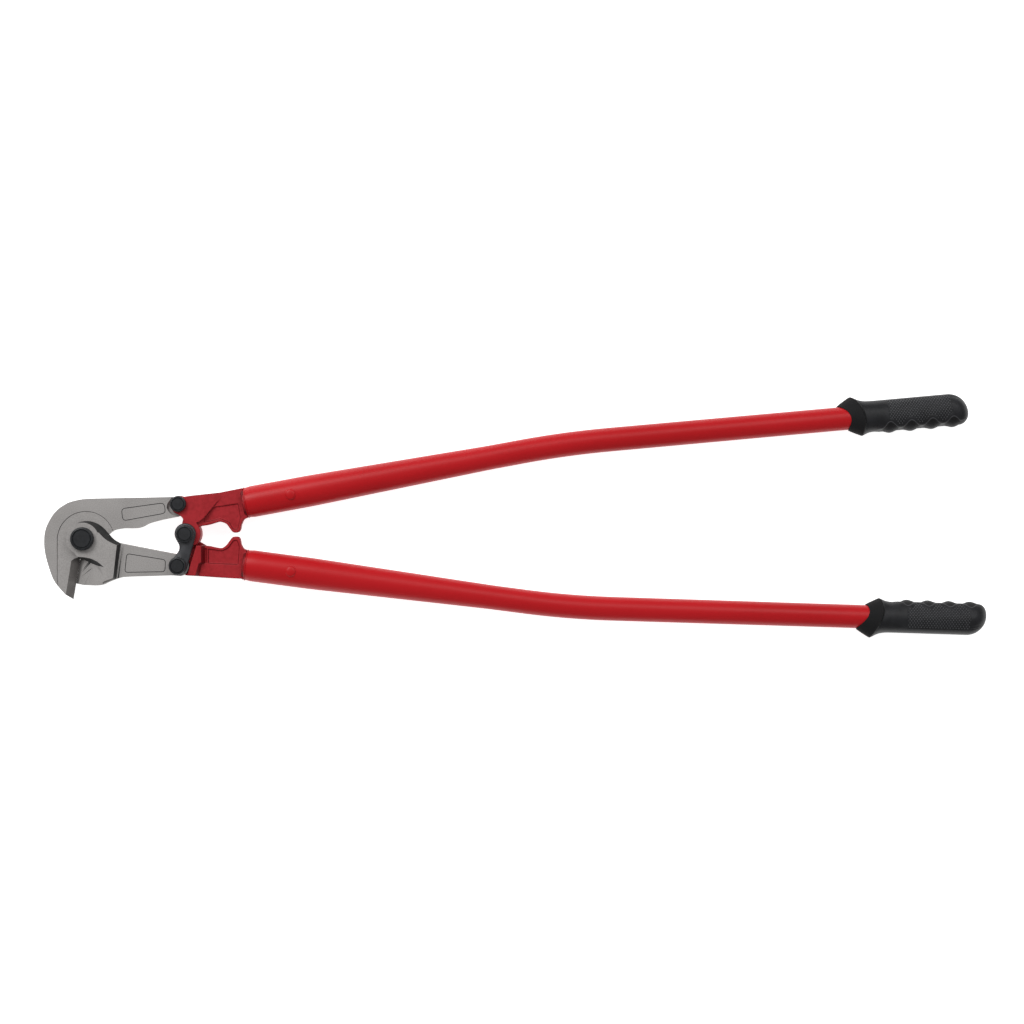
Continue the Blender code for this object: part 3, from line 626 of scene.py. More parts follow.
def bladeHeadOutline(spread):
    # the raised head, from its face (spread 0) to the foot of its leaning wall (spread 1)
    face = [(16.5, 6.0), (18.4, 4.0), (22.3, 0.2), (27.5, -3.2), (34.4, -6.4)]
    foot = [(20.8, 10.2), (23.4, 7.2), (26.2, 4.0), (30.9, -0.8), (38.0, -5.0)]
    neck = [tuple(Vector(a).lerp(Vector(b), spread)) for a, b in zip(face, foot)]

    def discRadius(turned):
        # the wall leans out most at the neck and is nearly upright past the top
        lean = (1 - min(1.0, (turned - 24) / 156)) ** 3.1
        return blade["discRadius"] + spread * (0.2 + blade["wallRun"] * lean)

    disc = sweep(jawPin, discRadius, 24, 238, 90)
    lower = bladeFoot()
    corner = Vector(lower[0]) + Vector((2.9, 1.8)) * spread
    return curve(neck, 8)[::-1] + disc + [(-5.2, -18.0)] + bladeEdge()[::-1] + lower[:0:-1] + [tuple(corner)]


def bladeBodyOutline():
    top = curve([(27.0, -3.7), (34.5, -4.4), (40.5, -5.5), (46.6, -6.7), (58.7, -9.0), (88.8, -14.8)], 4)
    tail = arc(bladeTailPin, 10.5, 78, -76, 36)
    bottom = curve([(88.8, -36.8), (70.7, -37.4), (52.6, -37.9), (40.5, -38.5), (34.5, -39.7)], 4)
    edge = bladeEdge() + [(-4.2, -20.2)]
    lap = arc(jawPin, jaw["lapRadius"] + jaw["lapGap"], -98, -12, 48)
    return ([(19.5, -3.3)] + top + tail + bottom + bladeFoot() + edge + lap)[::-1]


blade = {"faceDrop": 8.6, "faceRun": 20.4, "faceLean": 0.04, "bevelSwell": 3.75, "bevelReach": 7.5,
         "frontReach": 8.5, "rearReach": 16.0, "rearRise": 1.08, "discRadius": 16.2, "wallRun": 6.9,
         "faceEnd": (22.3, -29.3), "shade": 0.8, "dot": (8.2, -30.3), "dotSize": 0.75}


def bladeJaw():
    half = jaw["half"]
    high = jaw["headHigh"]
    item = block("bladeJaw", (bladeBodyOutline(), -half), (bladeBodyOutline(), half))
    raisedHead = block("raisedHead", (bladeHeadOutline(1.0), jaw["headLow"]), (bladeHeadOutline(0.0), high))

    rise = blade["faceDrop"] / blade["faceRun"]
    lean = blade["faceLean"]
    leafTop = curve([(-9.0, -15.6), (-4.5, -17.7), (1.7, -18.3), (7.7, -19.3), (12.4, -21.0), (16.4, -23.2),
                     (20.8, -27.2), (25.0, -31.0)], 6)
    leafFoot = curve([(-9.0, -19.4), (-3.5, -20.6), (0.2, -21.5), (2.9, -22.4), (9.8, -25.3), (15.4, -27.2),
                      (20.6, -28.2), (25.0, -31.2)], 6)
    endX, endY = blade["faceEnd"]
    facePlane = (high - rise * (endX - endY * lean), rise, -rise * lean)
    outside = [(25.0, -44.4), (25.0, -50), (-16, -50)]

    def faceCutter():
        return block("faceCut", ((leafFoot + outside)[::-1], facePlane), ((leafTop + outside)[::-1], high + 0.6))

    def edgeCutter(side, low, top):
        # steep at the edge, then easing over into the ground face; flat on the rear
        reach = blade["frontReach"] if side > 0 else blade["rearReach"]
        profile = []
        for i in range(21):
            d = reach * i / 20
            swell = blade["bevelSwell"] * (1 - (1 - min(1.0, d / blade["bevelReach"])) ** 2)
            level = rise * d + swell if side > 0 else -blade["rearRise"] * d
            profile.append((d + jaw["edgeGap"], level))
        if side > 0:
            profile += [(reach, 7.8), (-2.0, 3.4), (-2.0, -2.0)]
        else:
            profile += [(reach, -34.0), (-reach, -34.0), (-reach, 18.0)]
        return edgePrism("edgeCut", profile, low, top)

    chamfer = [(20.3, -43.1), (20.0, -50.0), (36.0, -46.0), (32.7, -38.5)]
    chamferPlane = (62.6, -0.344, 0.939)
    dot = arc(blade["dot"], blade["dotSize"], 0, 360, 20)[:-1]
    dotPlane = (facePlane[0] - 0.6, facePlane[1], facePlane[2])
    combine(item, [edgeCutter(-1, -52, -18.5)], "DIFFERENCE")
    saddle = [(29.0, -6.0), (31.0, -41.0), (35.4, -39.4), (40.4, -7.2), (38.0, -5.0)]
    saddleTop = [(29.0, -6.0), (31.0, -41.0), (34.2, -39.6), (39.2, -6.9), (37.0, -5.2)]
    combine(item, [
        raisedHead,
        block("saddle", (saddle, half - 1), (saddle, half + 0.1), (saddleTop, half + 0.9)),
        drum(bladeTailPin, 9.0, -9.0, 9.0),
    ], "UNION")
    panel = roundedCorners([(43.3, -14.9), (82.3, -21.2), (81.6, -33.1), (41.3, -33.8)][::-1], 3.2, 6)
    combine(item, [
        faceCutter(),
        slab(chamfer, chamferPlane, high + 4),
        edgeCutter(1, -52, -20.5),
        groove("panelLine", panel, jaw["lineWidth"], half - jaw["lineDepth"], half + 1),
        slab(dot, dotPlane, high + 1),
        hole(jawPin, jaw["pivotHole"]),
        hole(bladeTailPin, jaw["pinHole"]),
    ], "DIFFERENCE")

    # painted shade: the neck, step and leaf-shaped walls get the near-black forge scale finish, which also stands for
    # the shade on them
    def isWall(x, y, z, normal):
        neckWall = y > -12.0 and x < 38.0 and z > half - 0.4
        stepWall = 29.0 < x < 38.5 and z > half + 0.6
        leafWall = -31.0 < y < -15.0 and x < 22.6 and z > 1.0 and normal.y < -0.35
        return 0.05 < normal.z < 0.93 and (neckWall or stepWall) or leafWall and normal.z > 0.02

    paintFaces(item, 1, isLine)
    # the blade's lower chamfer gets the darker ground finish, which also stands for its shade
    def isChamfer(x, y, z, normal):
        return 19.0 < x < 36.0 and y < -38.0 and z > half + 0.5 and normal.y < -0.2 and 0.5 < normal.z < 0.97

    def bevelShade(x, y, z, rounded, flat):
        # the ground bevel darkens towards the cutting edge
        if y > -19.5 or not 0.3 < flat.z < 0.915 or flat.x > -0.2 or x - edgeX(y) > 7.0:
            return 0.0
        return blade["shade"] * (1 - easing(x - edgeX(y), 0.5, 6.8))

    paintFaces(item, 1, isWall)
    paintFaces(item, 2, isChamfer)
    markPaintedShade(item, bevelShade)
    return finishPiece(item, [steel, scale, groundAndShade], "blade_jaw_body", "blade_jaw")


hookJaw()
bladeJaw()
print("jaws made")


head = {
    "half": 9.0, "webHalf": 5.5, "cheekInner": 4.1, "openGap": 1.8, "pinHole": 5.1, "linkLow": 9.3,
    "linkHigh": 13.6, "rearCheekLow": -14.0, "stripHigh": 11.2, "pocketDepth": 1.3, "voxel": 0.45, "smoothing": 4,
    "fanFlatTo": 121.0, "fanFall": 0.2,
}
tubes = {
    "upperStart": (166.5, 37.0), "upperBend": (484.0, 95.8), "upperSlope": math.radians(5.15),
    "lowerStart": (166.5, -27.0), "lowerBend": (487.4, -69.2), "lowerSlope": math.radians(-1.81),
    "wall": 2.4, "thick": 15.8, "waist": 12.2, "thin": 11.7, "taperFrom": 62.0, "taperTo": 245.0,
    "bendHalf": 45.0, "front": -4.3, "lip": 0.9, "segments": 96,
    "shankLength": 62.0, "rivetAt": 42.5, "rivetHead": 5.3, "rivetShaft": 3.1,
    "upperGuardX": 776.5, "lowerGuardX": 795.0,
}


def along(start, slope, distance, side=0.0):
    # a point at a distance along a straight tube and to its left
    return (start[0] + math.cos(slope) * distance - math.sin(slope) * side,
            start[1] + math.sin(slope) * distance + math.cos(slope) * side)


def slopeBetween(start, end):
    return math.atan2(end[1] - start[1], end[0] - start[0])


def slopeShade(x, y, z, rounded, flat):
    # painted shade: the steep walls of the forging's front and rear are darkened where shade falls on them
    steep = easing(abs(rounded.z), 0.12, 0.3) * (1 - easing(abs(rounded.z), 0.72, 0.93))
    return 0.75 * steep * easing(abs(z), head["webHalf"] - 1.6, head["webHalf"] - 0.6)


upperFirstSlope = slopeBetween(tubes["upperStart"], tubes["upperBend"])
lowerFirstSlope = slopeBetween(tubes["lowerStart"], tubes["lowerBend"])


def tubeRing(shape, start, slope, distance, radius):
    # a ring of points square to a tube
    points = []
    for i in range(tubes["segments"]):
        angle = math.tau * i / tubes["segments"]
        x, y = along(start, slope, distance, radius * math.cos(angle))
        points.append(shape.verts.new((x, y, radius * math.sin(angle) + midHeight)))
    return points


def shank(start, slope):
    radius = tubes["thick"] - tubes["wall"] - 0.15
    stations = ((tubes["front"] - 2.8, radius - 0.9), (tubes["front"] - 1.9, radius),
                (tubes["shankLength"] - 3.0, radius), (tubes["shankLength"], radius - 3.0))
    shape = bmesh.new()
    rings = [tubeRing(shape, start, slope, distance, size) for distance, size in stations]
    shape.faces.new(rings[0][::-1])
    shape.faces.new(rings[-1])
    skin(shape, rings)
    return newObject("shank", shape)


def collarEnd(start, slope):
    side = tubes["thick"] - 0.6
    return along(start, slope, tubes["front"] - 0.4, side), along(start, slope, tubes["front"] - 0.4, -side)


def finishHead(item, start, slope, body, node):
    # adds the shank that fills the tube's end, then softens the forging
    combine(item, [shank(start, slope)], "UNION")
    combine(item, [hole(along(start, slope, tubes["rivetAt"]), tubes["rivetShaft"])], "DIFFERENCE")
    softenCast(item, head["voxel"], head["smoothing"])
    markPaintedShade(item, slopeShade)
    return finishPiece(item, [redHead], body, node, 60)


def upperHead():
    web = head["webHalf"]
    half = head["half"]
    left, right = collarEnd(tubes["upperStart"], upperFirstSlope)
    nose = arc(hookTailPin, 8.3, 60, 214, 30)
    lowerNose = curve([(91.0, 26.4), (94.4, 24.8), (98.3, 22.1), (99.7, 20.1)], 4)
    eye = arc(handlePin, 10.4, 108, 268, 30)[1:] + arc(handlePin, 15.3, -50, 26, 24)
    bottom = curve([(117.4, 12.7), (124.7, 13.8), (130.8, 15.5), (136.8, 17.0), (142.9, 15.0), (146.0, 11.3),
                    (149.9, 6.6), (154.9, 6.5), (157.3, 9.5), (158.0, 13.4), (160.5, 19.1), right], 6)
    outline = nose + lowerNose + eye + bottom + [left, (136.8, 46.6), (107.1, 43.4)]
    item = block("upperHandleHead", (outline, -web), (outline, web))
    pocket = roundedCorners([(131.0, 31.8), (154.9, 35.3), (157.4, 22.0), (154.5, 9.6), (149.9, 9.6), (145.8, 16.6),
                             (137.0, 20.2), (120.5, 16.2), (121.6, 22.0)][::-1], 1.0, 4)
    floor = head["pocketDepth"]
    combine(item, [
        slab(pocket, web - floor, web + 0.3),
        slab(pocket, -web - 0.3, -web + floor),
    ], "DIFFERENCE")
    step = curve([(136.8, 41.9), (133.3, 38.2), (126.2, 31.0), (119.3, 24.0), (113.0, 19.4)], 5)
    start = nose + lowerNose
    fan = start + [(101.0, 16.7), (108.0, 15.0)] + step[::-1] + [(138.5, 46.2), (107.1, 42.9)]
    leaning = start + [(101.0, 16.7), (107.2, 15.6)] + shifted(step, 3.8)[::-1] + [(135.6, 45.8), (107.1, 42.9)]
    lobe = arc(handlePin, 10.4, 100, 268, 30) + arc(handlePin, 15.3, -50, 40, 24) + [(110.0, 20.0), (101.5, 19.0)]
    fanFront = block("fanFront", (fan, web - 1), (leaning, half))
    # the fan's face falls towards the tube, down to the web at its far corner
    beyond = [(head["fanFlatTo"], -10.0), (150.0, -10.0), (150.0, 60.0), (head["fanFlatTo"], 60.0)]
    fall = (half + head["fanFall"] * head["fanFlatTo"], -head["fanFall"], 0.0)
    combine(fanFront, [slab(beyond, fall, half + 9)], "DIFFERENCE")
    combine(item, [
        fanFront,
        block("fanRear", (leaning, -half), (fan, -web + 1)),
        slab(lobe, -half, half),
    ], "UNION")
    slot = arc(hookTailPin, 9.2, 96, -35, 24) + [(99.4, 20.6), (86.0, 17.0), (80.0, 20.0), (80.0, 50.0), (94.0, 50.0)]
    combine(item, [
        slab(slot, -head["cheekInner"], head["cheekInner"]),
        hole(hookTailPin, head["pinHole"]),
        hole(handlePin, head["pinHole"] + head["openGap"] - 0.1),
    ], "DIFFERENCE")
    return finishHead(item, tubes["upperStart"], upperFirstSlope, "upper_handle", "upper_handle_head")


def linkOutline():
    handleEnd = arc(handlePin, 10.6, -14, 212, 60)
    waist = curve([(95.4, -4.0), (96.7, -7.0), (96.4, -11.5), (93.6, -15.6)], 8)
    bladeEnd = arc(bladeTailPin, 9.3, 115, 346, 60)
    return handleEnd + waist + bladeEnd


def lowerHead():
    web = head["webHalf"]
    low = head["linkLow"]
    strip = head["stripHigh"]
    left, right = collarEnd(tubes["lowerStart"], lowerFirstSlope)
    top = curve([left, (160.5, -10.0), (158.0, -5.7), (157.0, -0.7), (154.9, 1.9), (149.9, 1.8), (147.1, -1.1),
                 (142.9, -6.5), (138.6, -9.3), (132.8, -8.9), (125.7, -7.4), (118.8, -6.9)], 6)
    outline = top + [(111.0, -6.6), (100.6, -36.7), (112.7, -37.5), (142.9, -39.5), (158.4, -40.3), right]
    item = block("lowerHandleHead", (outline, -web), (outline, web))
    shoulder = [(113.5, -6.7), (104.2, -36.9), (115.6, -37.6), (118.6, -25.6), (121.4, -24.6), (121.4, -6.9)]
    shoulderTop = [(113.5, -6.7), (104.2, -36.9), (112.5, -37.3), (115.9, -24.8), (118.4, -24.0), (118.4, -6.9)]
    cheek = linkOutline()[:-6] + [(100.6, -36.7), (115.0, -37.6), (118.3, -25.6), (121.2, -25.0), (121.2, -6.9),
                                  (114.5, -3.0)]
    combine(item, [
        block("shoulder", (shoulder, -low - 1), (shoulder, web), (shoulderTop, strip)),
        slab(cheek, head["rearCheekLow"], -low),
    ], "UNION")
    seat = [(114.0, 8.0), (101.6, -36.0), (98.0, -44.0), (80.0, -44.0), (80.0, 20.0), (110.0, 20.0)][::-1]
    pocket = roundedCorners([(124.6, -25.0), (155.2, -26.2), (156.6, -8.0), (154.4, -1.2), (150.4, -1.2),
                             (144.6, -9.0), (138.6, -12.0), (124.6, -9.8)], 1.4, 4)
    channel = roundedCorners([(121.4, -24.6), (123.4, -24.6), (123.4, -9.6), (121.4, -9.6)], 0.6, 3)
    floor = head["pocketDepth"]
    combine(item, [
        drum(bladeTailPin, 11.0, -low, low),
        drum(handlePin, 17.4, -low, low),
        slab(seat, low - 4, strip + 2),
        block("pocketFront", (shifted(pocket, 0.6), web - floor), (pocket, web + 0.3)),
        slab(channel, web - floor - 0.5, web + 0.3),
        block("pocketRear", (pocket, -web - 0.3), (shifted(pocket, 0.6), -web + floor)),
        hole(bladeTailPin, head["pinHole"]),
        hole(handlePin, head["pinHole"]),
    ], "DIFFERENCE")
    return finishHead(item, tubes["lowerStart"], lowerFirstSlope, "lower_handle", "lower_handle_head")


def linkPlate():
    outline = linkOutline()
    high = head["linkHigh"]
    item = block("linkPlate", (outline, head["linkLow"]), (outline, high - 1.2), (shifted(outline, 0.5), high - 0.45),
                 (shifted(outline, 1.2), high))
    combine(item, [
        hole(bladeTailPin, head["pinHole"]),
        hole(handlePin, head["pinHole"]),
    ], "DIFFERENCE")
    return finishPiece(item, [linkBlack], "lower_handle", "link_plate", 50)


upperHead()
lowerHead()
linkPlate()
print("handle heads made")


bolts = {"segments": 96, "rim": 1.2, "grooveOuter": 0.835, "grooveInner": 0.73, "grooveDepth": 1.0}


def boltHead(name, centre, headRadius, thickness, shaft, body, node):
    # a round head with a bevelled rim and a ring groove, and the shaft under it
    low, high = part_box(node)
    end = low[2] / millimetre - midHeight
    top = high[2] / millimetre - midHeight
    seat = top - thickness + 0.05
    rim = bolts["rim"]
    floor = top - bolts["grooveDepth"]
    outer = bolts["grooveOuter"]
    inner = bolts["grooveInner"]
    profile = [(0, end), (shaft - 0.8, end), (shaft, end + 0.8), (shaft, seat), (headRadius - 0.3, seat),
               (headRadius, seat + 0.3), (headRadius, top - rim - 0.2), (headRadius - 0.25, top - rim * 0.6),
               (headRadius - rim, top - 0.12), (headRadius - rim - 0.3, top), (headRadius * outer, top),
               (headRadius * (outer - 0.01), top - 0.2), (headRadius * 0.8, floor), (headRadius * 0.77, floor),
               (headRadius * inner, top - 0.35), (headRadius * (inner - 0.03), top - 0.1), (0, top - 0.1)]
    item = lathe(name, centre, profile, bolts["segments"])
    return finishPiece(item, [oxide], body, node, 24)


boltHead("jawPivotBolt", jawPin, 11.7, 5.8, 7.0, "hook_jaw_body", "jaw_pivot_bolt")
boltHead("hookTailBolt", hookTailPin, 8.1, 4.6, 5.0, "upper_handle", "hook_jaw_tail_bolt")
boltHead("bladeTailBolt", bladeTailPin, 8.7, 4.6, 5.0, "lower_handle", "blade_jaw_tail_bolt")
boltHead("handlePivotBolt", handlePin, 8.7, 4.6, 5.0, "lower_handle", "handle_pivot_bolt")

nuts = {
    "jaw_pivot_nut": (jawPin, 7.1, "hook_jaw_body"),
    "hook_jaw_tail_nut": (hookTailPin, 5.1, "upper_handle"),
    "blade_jaw_tail_nut": (bladeTailPin, 5.1, "lower_handle"),
    "handle_pivot_nut": (handlePin, 5.1, "lower_handle"),
}


def hexNut(node, centre, bore, body):
    # a hexagon with its outer corners turned off and a countersunk bore
    low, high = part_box(node)
    bottom = low[2] / millimetre - midHeight
    top = high[2] / millimetre - midHeight
    corner = (high[0] - low[0]) / millimetre / 2
    sides = arc(centre, corner, 0, 360, 6)[:-1]
    item = block(node + ".fine", (sides, bottom), (sides, top))
    crown = lathe("crown", centre, [(0, bottom), (corner * 0.88, bottom), (corner * 0.96, bottom + 0.45),
                                    (corner + 0.3, bottom + 1.5), (corner + 0.3, top + 1), (0, top + 1)], 96)
    combine(item, [crown], "INTERSECT")
    sink = lathe("sink", centre, [(0, bottom - 1), (bore + 1.7, bottom - 1), (bore, bottom + 0.7), (bore, top + 1),
                                  (0, top + 1)], 96)
    combine(item, [sink], "DIFFERENCE")
    return finishPiece(item, [oxide], body, node, 30)


for node, (centre, bore, body) in nuts.items():
    hexNut(node, centre, bore, body)

for node in ("jaw_pivot_washer", "hook_jaw_tail_washer", "blade_jaw_tail_washer", "handle_pivot_washer"):
    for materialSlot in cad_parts[node].material_slots:
        materialSlot.material = zinc
print("fasteners made")


def centreline(start, bend, endSlope, endX):
    # (point, heading, distance) stations along a tube that bends once
    first = slopeBetween(start, bend)
    reach = math.hypot(bend[0] - start[0], bend[1] - start[1])
    path = []
    straight = reach - tubes["bendHalf"]
    for i in range(40):
        distance = tubes["front"] + (straight - tubes["front"]) * i / 40
        path.append((along(start, first, distance), first, distance))
    cornerIn = along(start, first, straight)
    cornerOut = along(bend, endSlope, tubes["bendHalf"])
    for i in range(25):
        t = i / 24
        spot = [(1 - t) ** 2 * cornerIn[k] + 2 * t * (1 - t) * bend[k] + t * t * cornerOut[k] for k in (0, 1)]
        path.append((tuple(spot), first + (endSlope - first) * t, reach + tubes["bendHalf"] * (2 * t - 1)))
    length = (endX - bend[0]) / math.cos(endSlope)
    for i in range(1, 11):
        distance = tubes["bendHalf"] + (length - tubes["bendHalf"]) * i / 10
        path.append((along(bend, endSlope, distance), endSlope, reach + distance))
    return path


def tubeRadius(distance, total):
    if distance <= tubes["taperFrom"]:
        return tubes["thick"]
    if distance <= tubes["taperTo"]:
        t = (distance - tubes["taperFrom"]) / (tubes["taperTo"] - tubes["taperFrom"])
        return tubes["thick"] + (tubes["waist"] - tubes["thick"]) * t
    t = (distance - tubes["taperTo"]) / (total - tubes["taperTo"])
    return tubes["waist"] + (tubes["thin"] - tubes["waist"]) * t


def tube(name, path, body, node):
    # the outer skin rolls over a rounded lip into the bore
    total = path[-1][2]
    lip = tubes["lip"]
    stations = []
    for i in range(6):
        angle = math.radians(90 * i / 5)
        stations.append((path[0], lip * (1 - math.sin(angle)), lip * (1 - math.cos(angle))))
    stations += [(station, 0.0, 0.0) for station in path[1:]]
    inner = [(station, 0.0, tubes["wall"]) for station in path[:0:-1]]
    inner += [(path[0], 0.4, tubes["wall"]), (path[0], 0.0, tubes["wall"] - 0.4)]
    shape = bmesh.new()
    rings = []
    for (centre, heading, distance), inset, step in stations + inner:
        rings.append(tubeRing(shape, centre, heading, inset, tubeRadius(distance, total) - step))
    skin(shape, rings, True)
    return finishPiece(newObject(name, shape), [redCoat], body, node, 60)


def rivet(name, start, slope, body, node):
    # a low dome on each face of the tube, with a small fillet at its foot
    centre = along(start, slope, tubes["rivetAt"])
    rim = tubes["thick"] - 1.4
    crown = tubes["thick"] + 1.7
    radius = tubes["rivetHead"]
    dome = [(radius * math.cos(math.radians(a)), rim + 1.2 + (crown - rim - 1.2) * math.sin(math.radians(a)))
            for a in range(0, 90, 9)]
    upper = [(radius, rim - 1.5)] + dome + [(0, crown)]
    profile = [(r, -z) for r, z in upper[::-1]] + upper
    return finishPiece(lathe(name, centre, profile, 72), [redCoat], body, node, 50)


grip = {
    "length": 113.5, "mouth": -13.0, "opening": 12.6, "roll": math.radians(12),
    "back": 15.1, "fingers": 15.7, "face": 15.7, "ridge": 3.0, "fingerFirst": 33.0, "fingerPitch": 21.2,
    "segments": 224, "knurlPitch": 2.9, "knurlDepth": 0.65, "knurlFrom": 31.0, "knurlTo": 98.0,
    "neckLine": 0.6, "endBack": 20.0, "endFinger": 9.0, "endCentre": 5.0, "scallop": 11.0,
}


def gripReach(u):
    # from the axis to the back, the finger side and the two faces
    if u < 0:
        t = (u - grip["mouth"]) / -grip["mouth"]
        opening = grip["opening"]
        return opening + 8.4 * t ** 0.9, opening + 6.7 * t ** 0.9, opening + 3.1 * t
    fade = math.exp(-(u / 7.0) ** 1.6)
    ridge = 0.0
    if u > grip["fingerFirst"] - grip["fingerPitch"] / 2:
        wave = math.cos(math.tau * (u - grip["fingerFirst"]) / grip["fingerPitch"])
        ridge = grip["ridge"] / 2 + grip["ridge"] / 2 * wave
    back = grip["back"] + 5.9 * fade
    fingers = grip["fingers"] + 3.5 * fade + ridge
    face = grip["face"] + 1.1 * min(u, grip["neckLine"]) / grip["neckLine"]
    face -= 1.9 * easing(u, grip["neckLine"], grip["neckLine"] + 1.4)
    return back, fingers, face


def softLeast(a, b, blend):
    # the smaller of two values, with the corner between them rounded
    gap = max(0.0, 1 - abs(a - b) / blend)
    return min(a, b) - gap * gap * blend / 4


def knurl(u, across):
    # raised diamonds between two sets of slanting grooves
    first = abs(((u + across * 0.8) / grip["knurlPitch"]) % 1 - 0.5) * 2
    second = abs(((u - across * 0.8) / grip["knurlPitch"]) % 1 - 0.5) * 2
    return min(1.0, 1.5 * min(first, second))


def guardShift(front, side):
    # the guard's mouth and ridge sit further back on the faces and on the finger side
    return 7.0 * front ** 2 - 0.2 + 4.6 * side


def gripPoint(u, turn, side, front):
    # along, across and up for one point, then its share of the lighter tips' look (wear and painted highlight on the
    # knurl tips, painted highlight along the crease) and of the darker guard's look (painted shade on the guard and
    # the scooped facets);
    # turn runs 0 to 1 over the domed end
    guardShare = max(0.0, 1 - max(u, 0) / 30.0)
    slant = (grip["endBack"] - grip["endFinger"]) * (1 + side) / 2
    station = u + guardShare * guardShift(front, side)
    station += slant * easing(u, 60.0, grip["length"] - grip["endBack"])
    back, fingers, face = gripReach(u if u < 60 else station)
    # flatter faces behind the guard
    w = face * (math.copysign(abs(front) ** 0.86, front) if u > grip["neckLine"] else front)
    v = back * side
    limit = fingers
    scoopShade = creaseHighlight = 0.0
    if side > 0:
        # each finger ridge is cut back where it meets the faces
        bulge = (easing(u, 14, 24) * max(0.0, fingers - grip["fingers"]) / grip["ridge"]) ** 0.65
        limit = fingers - grip["scallop"] * bulge * (w / 15.0) ** 2
        full = fingers + easing(u, 14, 24) * (1.3 - 0.4 * bulge)
        v = softLeast(full * side, limit, 0.4) if u > 10 else fingers * side
        over = full * side - limit
        # painted shade on the scooped finger facets
        scoopShade = easing(over, -0.2, 0.8) * easing(bulge, 0.1, 0.45) * (1 - easing(v, 14.0, 19.0))
        # painted highlight: a light line along the crease where the scallops meet the faces
        creaseHighlight = math.exp(-(over / 0.5) ** 2) * easing(bulge, 0.1, 0.4)
    patch = easing(station, grip["knurlFrom"], grip["knurlFrom"] + 3)
    patch *= 1 - easing(station, grip["knurlTo"] - 4, grip["knurlTo"])
    patch *= easing(abs(front), 0.42, 0.6) * easing(v, -12.5, -11.0)
    if side > 0:
        patch *= easing(limit - 1.6 - v, -0.5, 0.5)
    tip = knurl(station, v) if patch > 0 else 0.0
    size = 1 - grip["knurlDepth"] * patch * (1 - tip) / 15.5
    if turn > 0:
        drop = math.cos(turn * math.pi / 2)
        v = grip["endCentre"] + (v - grip["endCentre"]) * drop
        w *= drop
        station += (grip["endBack"] - slant) * math.sin(turn * math.pi / 2)
    # painted shade on the guard
    guardShade = 1 - easing(u, grip["neckLine"] + 0.7, grip["neckLine"] + 1.2)
    return station, v * size, w * size, max(patch * tip, creaseHighlight), max(guardShade, 0.9 * scoopShade)


def handleGrip(name, guard, slope, flip, body, node):
    bore = tubes["thin"] + 0.25
    straight = grip["length"] - grip["endBack"]
    stops = [grip["mouth"] + i * 0.8 for i in range(58)]
    stops = [(u, 0.0) for u in stops if u < grip["knurlFrom"] - 8]
    count = int((straight - stops[-1][0]) / 0.5)
    stops += [(stops[-1][0] + 0.5 * (i + 1), 0.0) for i in range(count)]
    stops += [(straight, i / 30) for i in range(1, 30)]
    shape = bmesh.new()
    tipHighlightLayer = shape.verts.layers.float.new("tipHighlight")
    guardShadeLayer = shape.verts.layers.float.new("guard")
    cosRoll = math.cos(grip["roll"])
    sinRoll = math.sin(grip["roll"])

    def place(u, v, w, tip=0.0, guardShade=1.0):
        across = v * cosRoll - w * sinRoll
        up = v * sinRoll + w * cosRoll
        x, y = along(guard, slope, u, -across * flip)
        vertex = shape.verts.new((x, y, up * flip + midHeight))
        vertex[tipHighlightLayer] = tip
        vertex[guardShadeLayer] = guardShade
        return vertex

    circle = arc((0, 0), 1.0, 0, 360, grip["segments"])[:-1]
    rings = [[place(*gripPoint(u, turn, side, front)) for front, side in circle] for u, turn in stops]
    inner = []
    for u, gap in ((straight, 0.0), (grip["mouth"] + 0.5, 0.0), (grip["mouth"], 0.4)):
        shifts = [guardShift(front, side) if u < 0 else 0.0 for front, side in circle]
        inner.append([place(u + shift, (bore + gap) * side, (bore + gap) * front)
                      for shift, (front, side) in zip(shifts, circle)])
    skin(shape, rings[::-1] + inner[::-1])
    shape.faces.new(rings[-1])
    shape.faces.new(inner[0])
    shape.normal_update()
    bmesh.ops.triangulate(shape, faces=[f for f in shape.faces if len(f.verts) > 4])
    return finishPiece(newObject(name, shape), [plastic], body, node, 60)


def onTube(bend, slope, x):
    return (x, bend[1] + (x - bend[0]) * math.tan(slope))


upperGuard = onTube(tubes["upperBend"], tubes["upperSlope"], tubes["upperGuardX"])
lowerGuard = onTube(tubes["lowerBend"], tubes["lowerSlope"], tubes["lowerGuardX"])
tubeRoom = grip["length"] - grip["endBack"] - 2.0
upperPath = centreline(tubes["upperStart"], tubes["upperBend"], tubes["upperSlope"], tubes["upperGuardX"] + tubeRoom)
lowerPath = centreline(tubes["lowerStart"], tubes["lowerBend"], tubes["lowerSlope"], tubes["lowerGuardX"] + tubeRoom)
tube("upperTube", upperPath, "upper_handle", "upper_tube")
tube("lowerTube", lowerPath, "lower_handle", "lower_tube")
rivet("upperRivet", tubes["upperStart"], upperFirstSlope, "upper_handle", "upper_tube_rivet")
rivet("lowerRivet", tubes["lowerStart"], lowerFirstSlope, "lower_handle", "lower_tube_rivet")
print("tubes made")
handleGrip("upperGrip", upperGuard, tubes["upperSlope"], 1, "upper_handle", "upper_grip")
handleGrip("lowerGrip", lowerGuard, tubes["lowerSlope"], -1, "lower_handle", "lower_grip")
print("grips made")


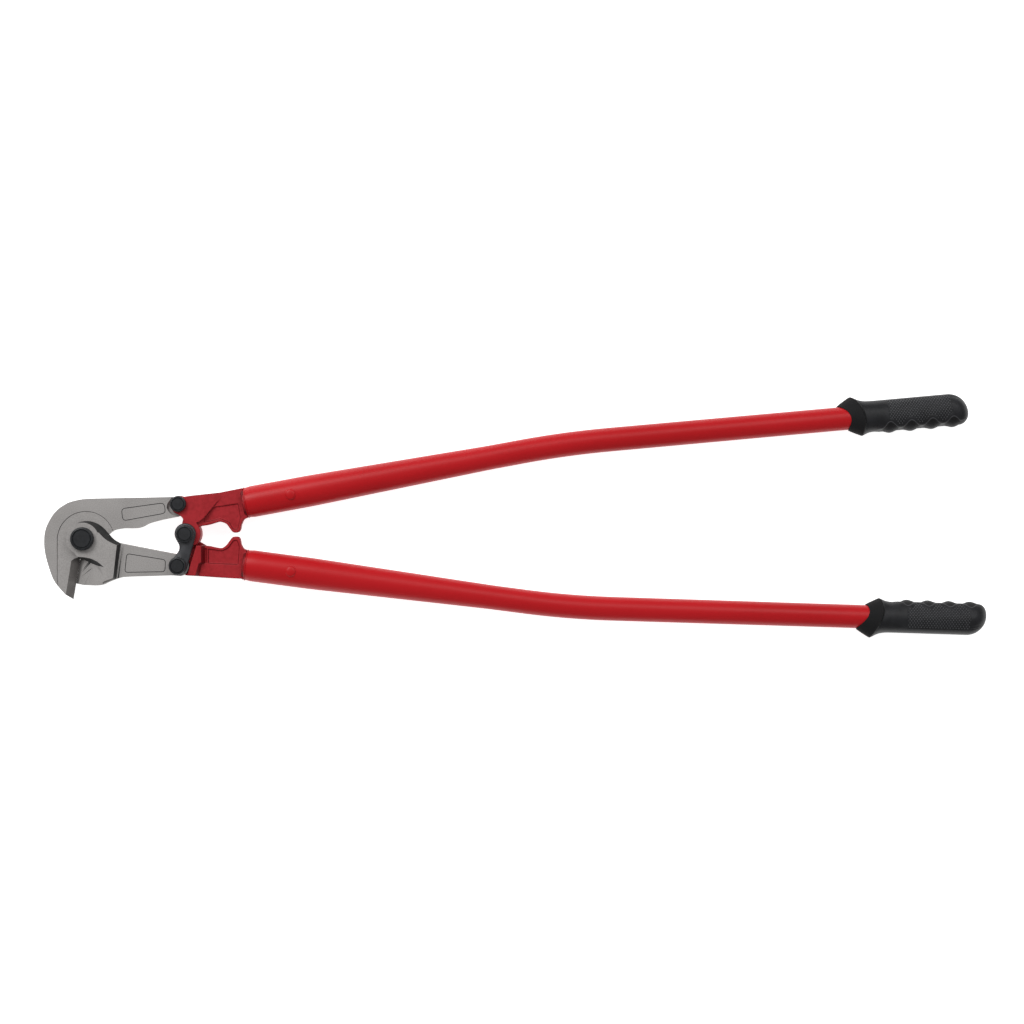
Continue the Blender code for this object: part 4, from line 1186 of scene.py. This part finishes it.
studio = {
    "floorSize": 14.0, "floorColour": (0.78, 0.78, 0.78, 1.0), "floorGlow": 1.08,
    "sky": (1.0, 1.0, 1.0, 1.0), "skyStrength": 0.42,
    "cameraHeight": 2.6, "cameraLens": 90.68, "sensor": 36.0, "cameraX": 0.4305, "cameraY": 0.0269,
    # place, size, power and aim of each soft panel, in metres and watts
    "panels": (
        ((-0.9, 1.5, 1.9), (1.8, 1.2), 46.0, (0.35, 0.0, 0.02)),
        ((1.3, 1.3, 2.2), (1.6, 1.2), 18.0, (0.45, 0.0, 0.02)),
    ),
}


def layFloor():
    half = studio["floorSize"] / 2
    shape = bmesh.new()
    corners = [shape.verts.new((x * half, y * half, -0.0002)) for x, y in ((-1, -1), (1, -1), (1, 1), (-1, 1))]
    shape.faces.new(corners)
    bmesh.ops.subdivide_edges(shape, edges=shape.edges, cuts=3, use_grid_fill=True)
    item = newObject("floor", shape)
    finish = Finish("pale floor", 0.0, 0.0, 0.2)
    # the floor is a light table, so the shadows on it stay faint
    finish.shader.inputs["Emission Color"].default_value = studio["floorColour"]
    finish.shader.inputs["Emission Strength"].default_value = studio["floorGlow"]
    mottle = finish.speckle(90.0, 3.0)
    pale = studio["floorColour"]
    warmer = (pale[0], pale[1] * 0.995, pale[2] * 0.985, 1.0)
    item.data.materials.append(finish.paint(finish.tint(mottle, pale, warmer), 0.8 + mottle * 0.1,
                                            finish.bump(mottle, 0.05, 0.1)))


def hangPanel(index, place, size, power, aim):
    lamp = bpy.data.lights.new("panel" + str(index), "AREA")
    lamp.shape = "RECTANGLE"
    lamp.size, lamp.size_y = size
    lamp.energy = power
    item = bpy.data.objects.new(lamp.name, lamp)
    item.location = place
    item.rotation_euler = (Vector(aim) - Vector(place)).to_track_quat("-Z", "Y").to_euler()
    bpy.context.scene.collection.objects.link(item)


def lightStudio():
    world = bpy.data.worlds.new("studio")
    world.use_nodes = True
    sky = world.node_tree.nodes["Background"]
    sky.inputs["Color"].default_value = studio["sky"]
    sky.inputs["Strength"].default_value = studio["skyStrength"]
    bpy.context.scene.world = world
    for index, panel in enumerate(studio["panels"]):
        hangPanel(index, *panel)
    bpy.context.scene.view_settings.view_transform = "Standard"


def setCamera():
    camera = bpy.data.cameras.new("camera")
    camera.lens = studio["cameraLens"]
    camera.sensor_width = studio["sensor"]
    item = bpy.data.objects.new("camera", camera)
    item.location = (studio["cameraX"], studio["cameraY"], midHeight * millimetre + studio["cameraHeight"])
    bpy.context.scene.collection.objects.link(item)
    bpy.context.scene.camera = item


layFloor()
lightStudio()
setCamera()
print("studio set")
